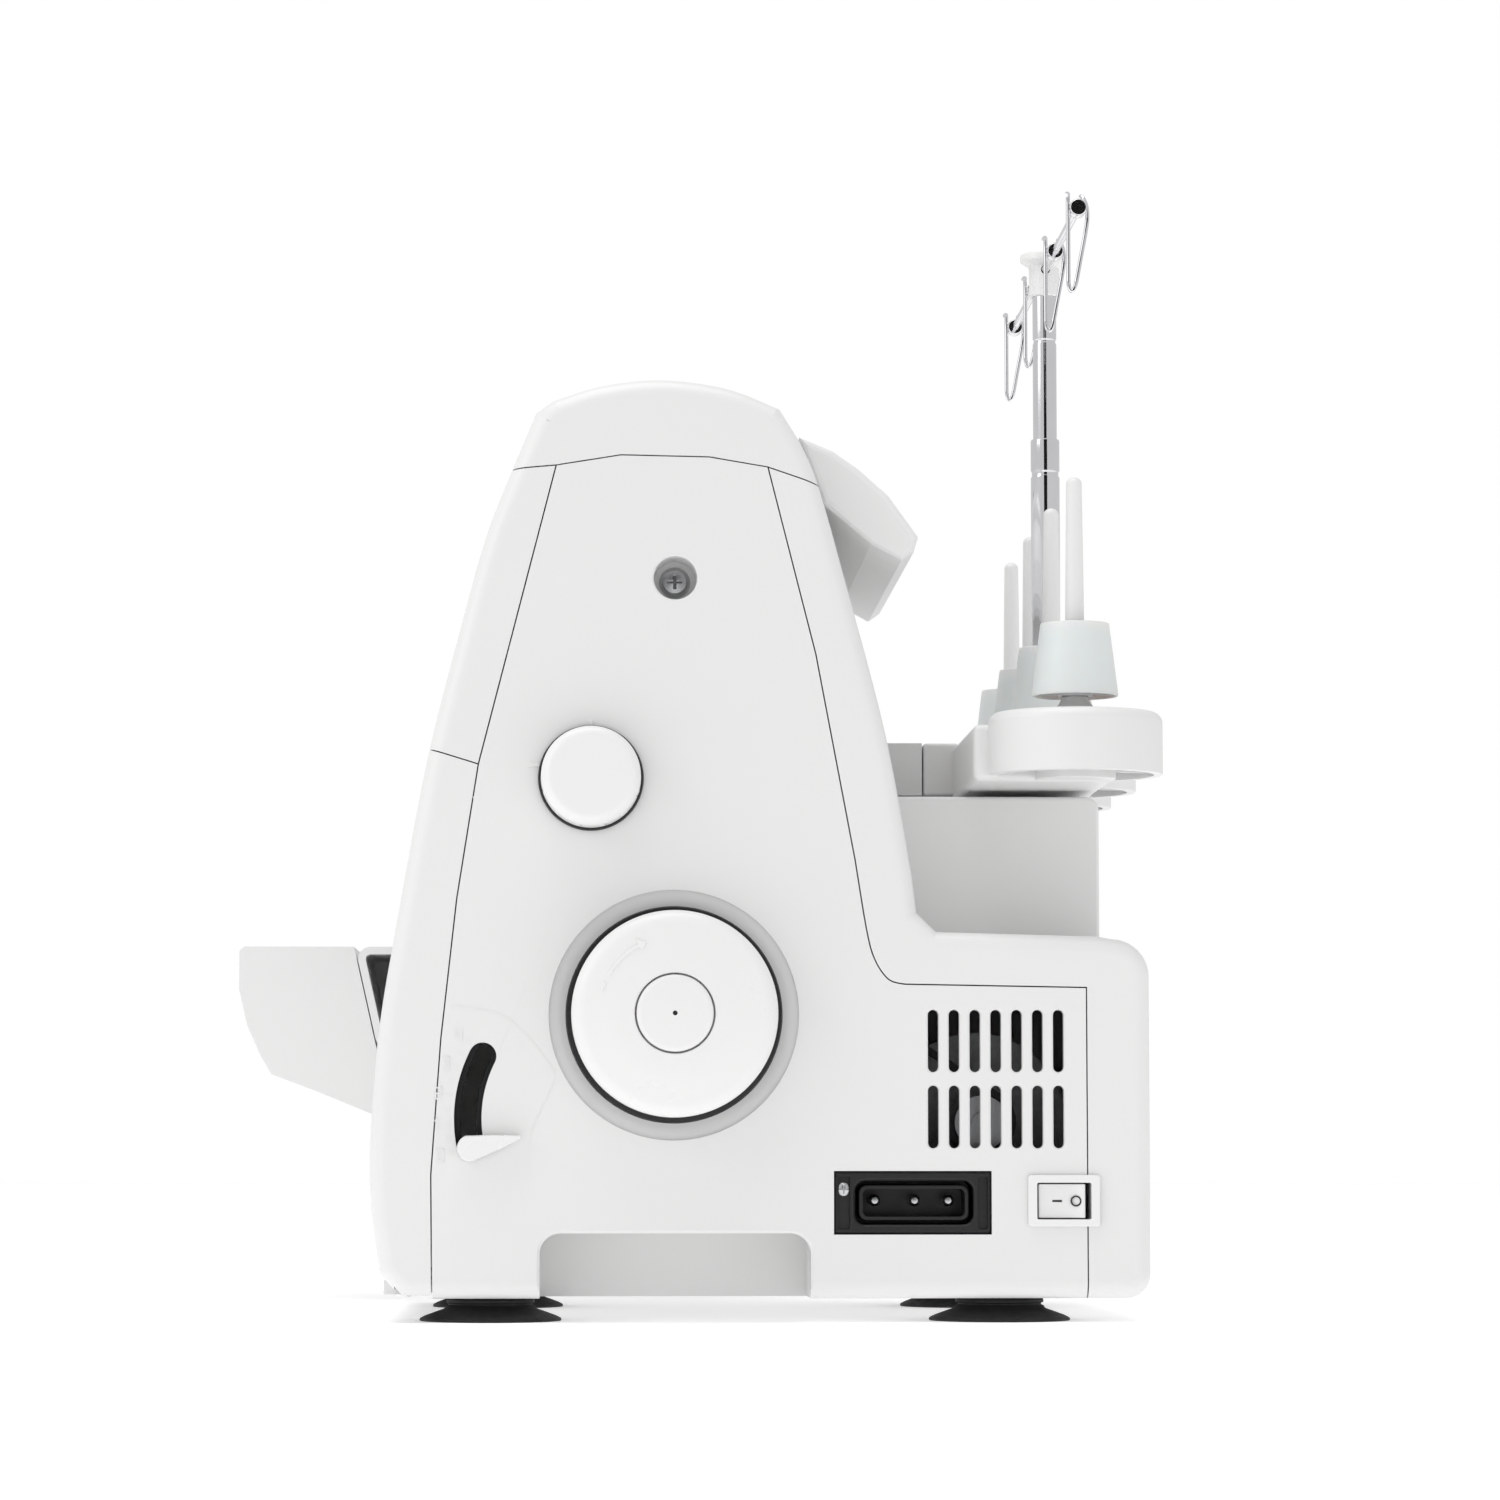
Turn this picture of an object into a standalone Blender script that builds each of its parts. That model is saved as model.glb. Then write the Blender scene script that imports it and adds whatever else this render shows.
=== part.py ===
"""Serger (overlock) machine, built as an assembly of separate named parts.

Every named size below is in millimetres; the helpers turn them into metres.
Machine frame: X = 0 is the outer face of the right side cover and X grows to the
handwheel side, Y grows to the rear, Z = 0 is the floor. All parts hang on one empty,
which puts the middle of the machine's footprint over the world origin.
"""

import math

import bmesh
import bpy
from mathutils import Matrix, Vector

MM = 0.001

# ---- driving sizes -------------------------------------------------------------
COLUMN_WIDTH = 155.0  # right side cover to the throat
BASE_WIDTH = 195.0  # right side cover to the left wall of the base
HEAD_WIDTH = 240.0  # right side cover to the left end of the head
FREE_ARM_END = 260.0
TABLE_END = 305.0  # left end of the extension table
BED_Z = 117.0  # sewing surface
HEAD_Z = 172.0  # underside of the head
BODY_Z = 7.0  # underside of the body, above the floor
WALL = 2.5
EDGE_ROUND = 5.0
GAP = 0.4  # seam between neighbouring covers
FIT = 0.3  # clearance round a piece that seats in another
SPLIT_Y = 40.0  # where front and rear shells meet

WHEEL_Y, WHEEL_Z = 26.8, 89.1
WHEEL_R = 29.8
WHEEL_FACE = 20.0
WHEEL_RIM_R = 31.5
DISH_R = 36.4
DISH_DEPTH = 4.0
SHAFT_R = 5.0
PULLEY_R = 32.0
MOTOR_Y, MOTOR_Z = 118.0, 58.0
MOTOR_R = 27.0
MOTOR_PULLEY_R = 8.0
PULLEY_X = (-28.0, -20.0)
BELT_THICK = 2.0

NEEDLE_X, NEEDLE_Y = -180.0, 8.0
PRESSER_Y = 24.0
NEEDLE_PITCH = 4.5
NEEDLE_BAR_R = 3.2
PRESSER_BAR_R = 2.8
NEEDLE_TIP_Z = 122.0
CLAMP_Z = 155.0
LAMP_X, LAMP_Y = (-222.0, -206.0), (12.0, 28.0)
PLATE_X, PLATE_Y = (-191.5, -167.3), (-29.2, 34.0)
LIFTER_X, LIFTER_Z = -205.0, 186.0

DIAL_Y, DIAL_Z, DIAL_R, DIAL_FACE = 2.5, 158.0, 14.7, 14.0
LEVER_Y, LEVER_Z = 7.1, 59.2
LEVER_R = 40.0
SLOT_HALF = 4.0
LEVER_REST = 192.6  # degrees from +Y, about the lever's pivot
SLOT_FROM, SLOT_TO = 147.7, 195.7
SCREW_Y, SCREW_Z, SCREW_HOLE_R, SCREW_DEEP = 27.1, 217.0, 6.4, 13.5

VENT_Y, VENT_PITCH, VENT_COLUMNS, VENT_WIDTH = 102.3, 6.09, 7, 3.14
VENT_ROWS = ((50.4, 68.7), (72.5, 90.7))
INLET_Y, INLET_Z = (73.3, 119.2), (25.5, 43.9)
SWITCH_Y, SWITCH_Z = (129.7, 150.7), (27.8, 42.8)
ROCKER_TILT = -6.0  # degrees; the front end is pressed
GRIP_Y, GRIP_Z, GRIP_DEEP = (-12.0, 66.6), 25.9, 30.0

PIN_Y = 146.3
PIN_X = (-20.0, -90.0, -160.0, -230.0)
DISC_R = 25.85
DISC_Z = (160.7, 179.3)
PIN_TOP = 250.0
CONE_Z = (184.3, 206.0)
MAST_X, MAST_Y = -125.0, 147.9
MAST_R, MAST_INNER_R, UPPER_R = 4.6, 4.05, 3.8
MAST_TOP, UPPER_TOP, CAP_TOP = 276.7, 323.0, 336.9
GUIDE_Z = (305.5, 335.5)
GUIDE_BAR_Z = 330.0
WIRE_R = 0.65

TENSION_X = (-75.0, -105.0, -135.0, -165.0)
TENSION_Y, TENSION_Z, TENSION_R, TENSION_WIDE = -15.6, 224.0, 15.0, 9.0

FOOT_X = (-25.0, -154.0)
FOOT_Y = (-26.5, 123.4)
FOOT_R, FOOT_NECK_R, STUD_R = 20.9, 13.0, 3.0

HINGE_Y, HINGE_Z, HINGE_R = -50.0, 9.2, 1.8
ROUND = 24  # sides of a small round piece

FINISHES = {
    "white_shell": ((0.86, 0.86, 0.85), 0.32, 0.0),
    "white_knob": ((0.88, 0.88, 0.87), 0.3, 0.0),
    "black_plastic": ((0.02, 0.02, 0.021), 0.45, 0.0),
    "rubber_foot": ((0.025, 0.025, 0.025), 0.7, 0.0),
    "chrome_wire": ((0.8, 0.8, 0.81), 0.08, 1.0),
    "steel_working": ((0.56, 0.57, 0.58), 0.25, 1.0),
    "cast_frame": ((0.5, 0.51, 0.52), 0.5, 1.0),
    "cone_plastic": ((0.85, 0.86, 0.86), 0.2, 0.0),
    "lamp_plastic": ((0.9, 0.9, 0.85), 0.15, 0.0),
    "belt_rubber": ((0.03, 0.03, 0.03), 0.8, 0.0),
}


# ---- scene ---------------------------------------------------------------------
def clear_scene():
    """Remove whatever the startup scene holds."""
    for obj in list(bpy.data.objects):
        bpy.data.objects.remove(obj, do_unlink=True)


def new_collection(name):
    """A collection linked to the scene."""
    made = bpy.data.collections.new(name)
    bpy.context.scene.collection.children.link(made)
    return made


clear_scene()
PARTS = new_collection("serger_overlock_machine")
TOOLS = new_collection("cutters")
BENCH = bpy.data.objects.new("machine_frame", None)
PARTS.objects.link(BENCH)
BENCH.location = (
    (TABLE_END - WHEEL_FACE) / 2 * MM,
    -(PIN_Y + DISC_R - 113.1) / 2 * MM,
    0.0,
)


def finish_material(name):
    """The Principled material of one finish, made once."""
    found = bpy.data.materials.get(name)
    if found:
        return found
    colour, rough, metal = FINISHES[name]
    made = bpy.data.materials.new(name)
    made.use_nodes = True
    shader = made.node_tree.nodes["Principled BSDF"]
    shader.inputs["Base Color"].default_value = (*colour, 1.0)
    shader.inputs["Roughness"].default_value = rough
    shader.inputs["Metallic"].default_value = metal
    return made


def part(name, obj, finish, pivot=(0.0, 0.0, 0.0)):
    """Turn a shape into a named part whose origin is at pivot."""
    pivot = Vector(pivot) * MM
    obj.data.transform(Matrix.Translation(-pivot))
    obj.name = obj.data.name = name
    TOOLS.objects.unlink(obj)
    PARTS.objects.link(obj)
    obj.hide_render = False
    obj.display_type = "TEXTURED"
    obj.parent = BENCH
    obj.location = pivot
    obj.data.materials.clear()
    obj.data.materials.append(finish_material(finish))
    obj.data.shade_smooth()
    obj.data.set_sharp_from_angle(angle=math.radians(35))
    return obj


def copies(name, obj, finish, places):
    """The same mesh as one part at each place, numbered from 1."""
    for number, place in enumerate(places, 1):
        twin = shape(obj.data.copy())
        part(f"{name}_{number}", twin, finish, place)
        twin.data.transform(Matrix.Translation(Vector(place) * MM))
    bpy.data.objects.remove(obj, do_unlink=True)


# ---- shapes --------------------------------------------------------------------
def shape(mesh):
    """A helper object in the cutters' collection."""
    obj = bpy.data.objects.new("shape", mesh)
    TOOLS.objects.link(obj)
    obj.hide_render = True
    obj.display_type = "WIRE"
    return obj


def from_bmesh(bm):
    """A helper object from a bmesh, welded and facing outwards."""
    bmesh.ops.remove_doubles(bm, verts=bm.verts, dist=1e-6)
    bmesh.ops.recalc_face_normals(bm, faces=bm.faces)
    mesh = bpy.data.meshes.new("shape")
    bm.to_mesh(mesh)
    bm.free()
    return shape(mesh)


def bake(obj):
    """Apply the modifiers of a helper object."""
    graph = bpy.context.evaluated_depsgraph_get()
    mesh = bpy.data.meshes.new_from_object(obj.evaluated_get(graph))
    obj.modifiers.clear()
    obj.data = mesh
    return obj


def box(x, y, z):
    """A box from three (low, high) pairs."""
    bm = bmesh.new()
    bmesh.ops.create_cube(bm, size=1.0)
    size = Vector([(b - a) * MM for a, b in (x, y, z)])
    middle = Vector([(a + b) / 2 * MM for a, b in (x, y, z)])
    bmesh.ops.transform(bm, matrix=Matrix.Translation(middle) @ Matrix.Diagonal((*size, 1.0)), verts=bm.verts)
    return from_bmesh(bm)


def along(axis):
    """The turn that takes local +Z to an axis."""
    return Vector((0, 0, 1)).rotation_difference(Vector(axis)).to_matrix().to_4x4()


def rod(start, end, radius, end_radius=None, sides=ROUND):
    """A round bar or cone between two points."""
    start, end = Vector(start) * MM, Vector(end) * MM
    bm = bmesh.new()
    bmesh.ops.create_cone(
        bm,
        cap_ends=True,
        segments=sides,
        radius1=radius * MM,
        radius2=(radius if end_radius is None else end_radius) * MM,
        depth=(end - start).length,
    )
    place = Matrix.Translation((start + end) / 2) @ along((end - start).normalized())
    bmesh.ops.transform(bm, matrix=place, verts=bm.verts)
    return from_bmesh(bm)


def turned(profile, centre, axis=(1, 0, 0), sides=48):
    """A profile of (radius, distance along the axis) turned round that axis."""
    bm = bmesh.new()
    verts = [bm.verts.new((r * MM, 0.0, h * MM)) for r, h in profile]
    closed = profile[0][0] > 0 and profile[-1][0] > 0
    for first, second in zip(verts, verts[1:] + verts[:1]):
        if closed or second is not verts[0]:
            bm.edges.new((first, second))
    mesh = bpy.data.meshes.new("profile")
    bm.to_mesh(mesh)
    bm.free()
    obj = shape(mesh)
    screw = obj.modifiers.new("turn", "SCREW")
    screw.steps = screw.render_steps = sides
    screw.use_merge_vertices = True
    screw.merge_threshold = 1e-5
    bake(obj)
    bm = bmesh.new()
    bm.from_mesh(obj.data)
    bpy.data.objects.remove(obj, do_unlink=True)
    bmesh.ops.transform(bm, matrix=Matrix.Translation(Vector(centre) * MM) @ along(axis), verts=bm.verts)
    return from_bmesh(bm)


PLANES = {
    "YZ": Matrix(((0, 0, 1, 0), (1, 0, 0, 0), (0, 1, 0, 0), (0, 0, 0, 1))),
    "XZ": Matrix(((1, 0, 0, 0), (0, 0, -1, 0), (0, 1, 0, 0), (0, 0, 0, 1))),
    "XY": Matrix.Identity(4),
}


def plate(outline, low, high, plane="YZ"):
    """A flat outline given thickness between two levels of the third axis."""
    curve = bpy.data.curves.new("outline", "CURVE")
    curve.dimensions = "2D"
    curve.fill_mode = "BOTH"
    curve.extrude = (high - low) / 2 * MM
    spline = curve.splines.new("POLY")
    spline.points.add(len(outline) - 1)
    for point, (a, b) in zip(spline.points, outline):
        point.co = (a * MM, b * MM, 0.0, 1.0)
    spline.use_cyclic_u = True
    flat = bpy.data.objects.new("outline", curve)
    TOOLS.objects.link(flat)
    graph = bpy.context.evaluated_depsgraph_get()
    mesh = bpy.data.meshes.new_from_object(flat.evaluated_get(graph))
    bpy.data.objects.remove(flat, do_unlink=True)
    bm = bmesh.new()
    bm.from_mesh(mesh)
    middle = (low + high) / 2 * MM * (-1 if plane == "XZ" else 1)
    bmesh.ops.transform(bm, matrix=PLANES[plane] @ Matrix.Translation((0, 0, middle)), verts=bm.verts)
    bmesh.ops.remove_doubles(bm, verts=bm.verts, dist=1e-6)
    bmesh.ops.dissolve_limit(bm, angle_limit=math.radians(0.1), verts=bm.verts, edges=bm.edges)
    return from_bmesh(bm)


def wire(points, radius):
    """A round wire through points, as a mesh."""
    curve = bpy.data.curves.new("wire", "CURVE")
    curve.dimensions = "3D"
    curve.bevel_depth = radius * MM
    curve.bevel_resolution = 1
    curve.use_fill_caps = True
    spline = curve.splines.new("POLY")
    spline.points.add(len(points) - 1)
    for point, place in zip(spline.points, points):
        point.co = (*(Vector(place) * MM), 1.0)
    bent = bpy.data.objects.new("wire", curve)
    TOOLS.objects.link(bent)
    graph = bpy.context.evaluated_depsgraph_get()
    mesh = bpy.data.meshes.new_from_object(bent.evaluated_get(graph))
    bpy.data.objects.remove(bent, do_unlink=True)
    bm = bmesh.new()
    bm.from_mesh(mesh)
    return from_bmesh(bm)


def ease(obj, width, chosen, segments=3):
    """Round the edges of a plain solid for which chosen(edge) is true."""
    bm = bmesh.new()
    bm.from_mesh(obj.data)
    edges = [edge for edge in bm.edges if chosen(edge)]
    bmesh.ops.bevel(bm, geom=edges, offset=width * MM, segments=segments, profile=0.5, affect="EDGES")
    bm.to_mesh(obj.data)
    bm.free()
    return obj


def at_x(level):
    """Chooses the edges that lie in the plane X = level."""
    return lambda edge: all(abs(vert.co.x - level * MM) < 1e-6 for vert in edge.verts)


def sharp(edge):
    """Chooses every edge where two faces meet at more than 50 degrees."""
    return len(edge.link_faces) == 2 and edge.calc_face_angle(0.0) > math.radians(50)


# ---- solid operations ----------------------------------------------------------
def combine(obj, others, operation):
    """Apply one Boolean with each of the other shapes in turn, and use them up.

    The solver is MANIFOLD: EXACT leaves the thin shells open where seams cross them.
    """
    for other in others:
        step = obj.modifiers.new("step", "BOOLEAN")
        step.operation = operation
        step.solver = "MANIFOLD"
        step.object = other
        bake(obj)
        bpy.data.objects.remove(other, do_unlink=True)
    return obj


def fuse(obj, *others):
    """One solid from several that overlap."""
    return combine(obj, others, "UNION")


def carve(obj, *others):
    """A solid with the other shapes taken out of it."""
    return combine(obj, others, "DIFFERENCE")


def common(obj, other):
    """What two shapes share."""
    return combine(obj, (other,), "INTERSECT")


def twin(obj):
    """A copy of a helper shape."""
    return shape(obj.data.copy())


def together(shapes):
    """Several shapes that don't touch, as one cutter."""
    bm = bmesh.new()
    for obj in shapes:
        bm.from_mesh(obj.data)
        bpy.data.objects.remove(obj, do_unlink=True)
    mesh = bpy.data.meshes.new("shape")
    bm.to_mesh(mesh)
    bm.free()
    return shape(mesh)


# ---- outlines ------------------------------------------------------------------
def smooth(points, steps=2):
    """Points along a Catmull-Rom curve through the given ones."""
    ends = [points[0], *points, points[-1]]
    found = []
    for p0, p1, p2, p3 in zip(ends, ends[1:], ends[2:], ends[3:]):
        for step in range(steps):
            t = step / steps
            found.append(
                tuple(
                    0.5 * (2 * b + (c - a) * t + (2 * a - 5 * b + 4 * c - d) * t * t + (3 * b - a - 3 * c + d) * t**3)
                    for a, b, c, d in zip(p0, p1, p2, p3)
                )
            )
    return found + [points[-1]]


def rounded(corners, steps=4):
    """A closed outline whose corners (a, b, radius) are arcs."""
    found = []
    for before, corner, after in zip(corners[-1:] + corners[:-1], corners, corners[1:] + corners[:1]):
        here = Vector(corner[:2])
        to_before = (Vector(before[:2]) - here).normalized()
        to_after = (Vector(after[:2]) - here).normalized()
        radius = corner[2] if len(corner) > 2 else 0.0
        if radius <= 0.0:
            found.append(tuple(here))
            continue
        half = to_before.angle(to_after) / 2
        centre = here + (to_before + to_after).normalized() * (radius / math.sin(half))
        start = here + to_before * (radius / math.tan(half)) - centre
        end = here + to_after * (radius / math.tan(half)) - centre
        turn = start.angle_signed(end)
        for step in range(steps + 1):
            angle = -turn * step / steps
            turned_by = Matrix.Rotation(angle, 2)
            found.append(tuple(centre + turned_by @ start))
    return found


def rectangle(a, b, radius=0.0):
    """A rectangle from two (low, high) pairs, with rounded corners."""
    return rounded([(a[0], b[0], radius), (a[1], b[0], radius), (a[1], b[1], radius), (a[0], b[1], radius)])


def inset(outline, distance):
    """A closed outline, which runs anticlockwise, moved inwards."""
    found = []
    for before, here, after in zip(outline[-1:] + outline[:-1], outline, outline[1:] + outline[:1]):
        first = (Vector(here) - Vector(before)).normalized()
        second = (Vector(after) - Vector(here)).normalized()
        inward_1, inward_2 = Vector((-first.y, first.x)), Vector((-second.y, second.x))
        middle = (inward_1 + inward_2).normalized()
        reach = distance / max(middle.dot(inward_1), 0.3)
        found.append(tuple(Vector(here) + middle * reach))
    return found


def arc(centre, radius, start, end, steps):
    """Points on an arc, angles in degrees."""
    return [
        (
            centre[0] + radius * math.cos(math.radians(start + (end - start) * k / steps)),
            centre[1] + radius * math.sin(math.radians(start + (end - start) * k / steps)),
        )
        for k in range(steps + 1)
    ]


def band(centre, inner, outer, start, end, steps):
    """A curved slot between two radii."""
    return arc(centre, inner, end, start, steps) + arc(centre, outer, start, end, steps)


# ---- body shell ----------------------------------------------------------------
FRONT_LOW = [(-58.4, 14.3), (-61.3, 41.3), (-59.2, 82.0), (-52.7, 122.8), (-45.0, 164.9)]
FRONT_HIGH = [(-35.6, 202.9), (-28.2, 229.8), (-20.7, 249.3), (-13.8, 266.0)]
CROWN = [(-9.0, 269.5), (5.0, 274.0), (22.7, 276.0), (42.0, 273.6), (57.8, 267.5)]
BACK = [(64.0, 257.5), (69.3, 244.6), (78.6, 211.3), (89.0, 170.8), (95.7, 134.4), (97.8, 119.0)]
STEP_BACK = [(103.5, 113.5), (150.7, 112.3)]
REAR_Y = 165.9
CORNER = 7.0

FRONT_SEAM = [
    (0.0, 276.0), (-7.9, 250.1), (-30.3, 162.1), (-36.4, 122.8),
    (-40.8, 82.1), (-43.5, 42.8), (-42.9, -5.0),
]
TOP_SEAM = [
    (-100.0, 242.0), (-7.9, 250.1), (11.1, 253.2), (37.0, 252.7),
    (54.2, 249.8), (69.5, 244.6), (120.0, 225.0),
]
REAR_SEAM = [
    (54.2, 249.8), (68.2, 194.7), (79.6, 134.4), (82.9, 114.1),
    (85.3, 105.3), (89.3, 99.5), (94.0, 98.1),
]
PANEL_CORNER = (147.1, 97.2)
HOUSING = ((60.0, 157.0), (100.0, 157.0))
HOUSING_X = (-150.0, -55.0)
PAN_FRONT = -46.0


def body_outline():
    """The side outline of the body, anticlockwise from the front bottom corner."""
    bottom_front = [(-51.5, BODY_Z)]
    bottom_rear = arc((REAR_Y - CORNER, BODY_Z + CORNER), CORNER, 0, -90, 4)
    top_rear = arc((REAR_Y - 11.0, 111.5 - 11.0), 11.0, 90, 0, 4)
    clockwise = smooth(FRONT_LOW + FRONT_HIGH) + smooth(CROWN) + smooth(BACK) + STEP_BACK
    clockwise = bottom_front + clockwise + top_rear + bottom_rear
    return clockwise[::-1]


def body_shell():
    """The whole plastic skin: column, head, base and the rear housing, hollow inside."""
    outline = body_outline()
    skin = plate(outline, -HEAD_WIDTH, 0.0)
    ease(skin, EDGE_ROUND, at_x(0.0))
    ease(skin, EDGE_ROUND, at_x(-HEAD_WIDTH))
    throat = box((-400, -COLUMN_WIDTH), (-200, 300), (BED_Z, HEAD_Z))
    under_head = box((-400, -BASE_WIDTH), (-200, 300), (-10, (BED_Z + HEAD_Z) / 2))
    skin = carve(skin, throat, under_head)
    skin = fuse(skin, plate(rectangle(*HOUSING, 4.0), *HOUSING_X))
    hollow = plate(inset(outline, WALL), -HEAD_WIDTH + WALL, -WALL)
    throat = box((-400, -COLUMN_WIDTH + WALL), (-200, 300), (BED_Z - WALL, HEAD_Z + WALL))
    under_head = box((-400, -BASE_WIDTH + WALL), (-200, 300), (-10, (BED_Z + HEAD_Z) / 2))
    hollow = carve(hollow, throat, under_head)
    housing = plate(inset(rectangle(*HOUSING, 4.0), WALL), HOUSING_X[0] + WALL, HOUSING_X[1] - WALL)
    return carve(skin, fuse(hollow, housing))


def take(rest, region):
    """Split a shell along a region: region(+1) is inside the seam's gap, region(-1) outside."""
    piece = common(twin(rest), region(GAP / 2))
    carve(rest, region(-GAP / 2))
    return piece


def panel_region(edge):
    """The field of the right side cover."""
    outline = REAR_SEAM + [PANEL_CORNER, (147.2, -5.0)] + FRONT_SEAM[::-1][:-1] + TOP_SEAM[2:-3]
    return plate(inset(outline[::-1], edge), -5.0 - WALL + edge, 1.0)


def top_region(edge):
    """Everything above the seam under the top cover."""
    outline = TOP_SEAM + [(120.0, 300.0), (-100.0, 300.0)]
    return plate(inset(outline, edge), -HEAD_WIDTH - 5, 5.0)


def looper_region(edge):
    """The field of the front cover that opens."""
    outline = [(-100.0, -5.0), (-42.9, -5.0)] + FRONT_SEAM[::-1][1:-2] + [(-100.0, 183.6)]
    return plate(inset(outline, edge), -BASE_WIDTH - 5, 5.0)


def pan_region(edge):
    """The floor of the body inside its walls."""
    return box(
        (-BASE_WIDTH + WALL + edge, -5.0 - WALL - edge),
        (PAN_FRONT + edge, REAR_Y - CORNER - edge),
        (0.0, BODY_Z + WALL + 0.5),
    )


def end_region(edge):
    """The left end of the head."""
    return box((-HEAD_WIDTH - 5, -HEAD_WIDTH + 9.0 - edge), (-200, 200), (HEAD_Z - 5, 300))


def front_region(edge):
    """Everything ahead of the seam between front and rear shells."""
    return box((-400, 100), (-200, SPLIT_Y - edge), (-10, 400))


# ---- covers --------------------------------------------------------------------
def vent_slots():
    """The cooling slots, as one cutter."""
    slots = []
    for low, high in VENT_ROWS:
        for column in range(VENT_COLUMNS):
            middle = VENT_Y + column * VENT_PITCH
            end = VENT_WIDTH / 2
            outline = arc((middle, high - end), end, 0, 180, 4) + arc((middle, low + end), end, 180, 360, 4)
            slots.append(plate(outline, -5.0, 2.0))
    return together(slots)


def grip_outline(clearance=0.0):
    """The side grip in the base: a recess with rounded upper corners."""
    low, high = GRIP_Y[0] - clearance, GRIP_Y[1] + clearance
    top = GRIP_Z + clearance
    return rounded([(low, -5.0), (high, -5.0), (high, top, 6.0), (low, top, 6.0)])


def inlet_box(clearance, x):
    """The space of the mains inlet."""
    return box(
        x, (INLET_Y[0] - clearance, INLET_Y[1] + clearance), (INLET_Z[0] - clearance, INLET_Z[1] + clearance)
    )


def switch_box(shrink, x):
    """The space of the mains switch, smaller than its flange by shrink on every side."""
    return box(x, (SWITCH_Y[0] + shrink, SWITCH_Y[1] - shrink), (SWITCH_Z[0] + shrink, SWITCH_Z[1] - shrink))


def make_right_cover(panel):
    """The side panel: wheel dish, screw well, vents, grip and holes for the controls."""
    dish_back = rod((-DISH_DEPTH - WALL, WHEEL_Y, WHEEL_Z), (-1.0, WHEEL_Y, WHEEL_Z), DISH_R + WALL, sides=48)
    well = rod((-SCREW_DEEP - WALL, SCREW_Y, SCREW_Z), (-1.0, SCREW_Y, SCREW_Z), SCREW_HOLE_R + WALL)
    fuse(panel, dish_back, well)
    holes = (
        rod((-DISH_DEPTH, WHEEL_Y, WHEEL_Z), (3.0, WHEEL_Y, WHEEL_Z), DISH_R - 1.5, DISH_R + 1.0, 48),
        rod((-20, WHEEL_Y, WHEEL_Z), (3, WHEEL_Y, WHEEL_Z), 9.0),
        rod((-SCREW_DEEP, SCREW_Y, SCREW_Z), (3, SCREW_Y, SCREW_Z), SCREW_HOLE_R),
        rod((-30, SCREW_Y, SCREW_Z), (3, SCREW_Y, SCREW_Z), 2.4, sides=12),
        rod((-5, DIAL_Y, DIAL_Z), (3, DIAL_Y, DIAL_Z), 4.6),
        plate(
            band((LEVER_Y, LEVER_Z), LEVER_R - SLOT_HALF, LEVER_R + SLOT_HALF, SLOT_FROM, SLOT_TO, 10), -6.0, 2.0
        ),
        vent_slots(),
        plate(grip_outline(), -30.0, 5.0),
        inlet_box(0.0, (-30, 5)),
        switch_box(1.0, (-30, 5)),
    )
    return part("right_side_cover", carve(panel, *holes), "white_shell")


def make_base_pan(pan):
    """The floor of the machine with the grip's pocket, hinge lugs and foot holes."""
    pocket = box((-GRIP_DEEP, -5.0 - WALL - GAP), (GRIP_Y[0] - WALL, GRIP_Y[1] + WALL), (BODY_Z + 0.6, GRIP_Z + WALL))
    hollow = box((-GRIP_DEEP + WALL, 5.0), GRIP_Y, (0, GRIP_Z))
    lugs = [
        box((x - 4, x + 4), (HINGE_Y - 3.1, PAN_FRONT + 9), (BODY_Z + 0.6, BODY_Z + 5.0)) for x in (-50.0, -140.0)
    ]
    pins = [
        rod((x, y, -2), (x, y, BODY_Z + WALL + 2), STUD_R + FIT, sides=16) for x in FOOT_X for y in FOOT_Y
    ]
    peg = rod((-87.0, 29.0, BODY_Z - 1.5), (-87.0, 29.0, BODY_Z + 1.0), 2.5, sides=12)
    bore = rod((-BASE_WIDTH, HINGE_Y, HINGE_Z), (0, HINGE_Y, HINGE_Z), HINGE_R + FIT, sides=12)
    fuse(pan, pocket, peg, *lugs)
    return part("base_pan", carve(pan, hollow, bore, *pins), "white_shell")


def make_looper_cover(cover):
    """The front cover that slides right and folds down, with its hinge knuckles."""
    foot_cut = box((-BASE_WIDTH + WALL, -WALL), (-54.0, -30.0), (0, 12.0))
    trim = box((-400, 10), (-55.0, -30.0), (0, 8.0))
    carve(cover, foot_cut, trim)
    knuckles = [
        box((x - 5, x + 5), (-57.5, HINGE_Y + 2.7), (BODY_Z + 1.0, 12.0)) for x in (-20.0, -95.0, -172.0)
    ]
    fuse(cover, *knuckles)
    bore = rod((-BASE_WIDTH + 4, HINGE_Y, HINGE_Z), (-4, HINGE_Y, HINGE_Z), HINGE_R + FIT, sides=12)
    part("looper_cover", carve(cover, bore), "white_shell", (-95.0, HINGE_Y, HINGE_Z))
    pin = rod((-186, HINGE_Y, HINGE_Z), (-13, HINGE_Y, HINGE_Z), HINGE_R, sides=12)
    part("looper_cover_hinge", pin, "steel_working", (-95.0, HINGE_Y, HINGE_Z))


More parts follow.
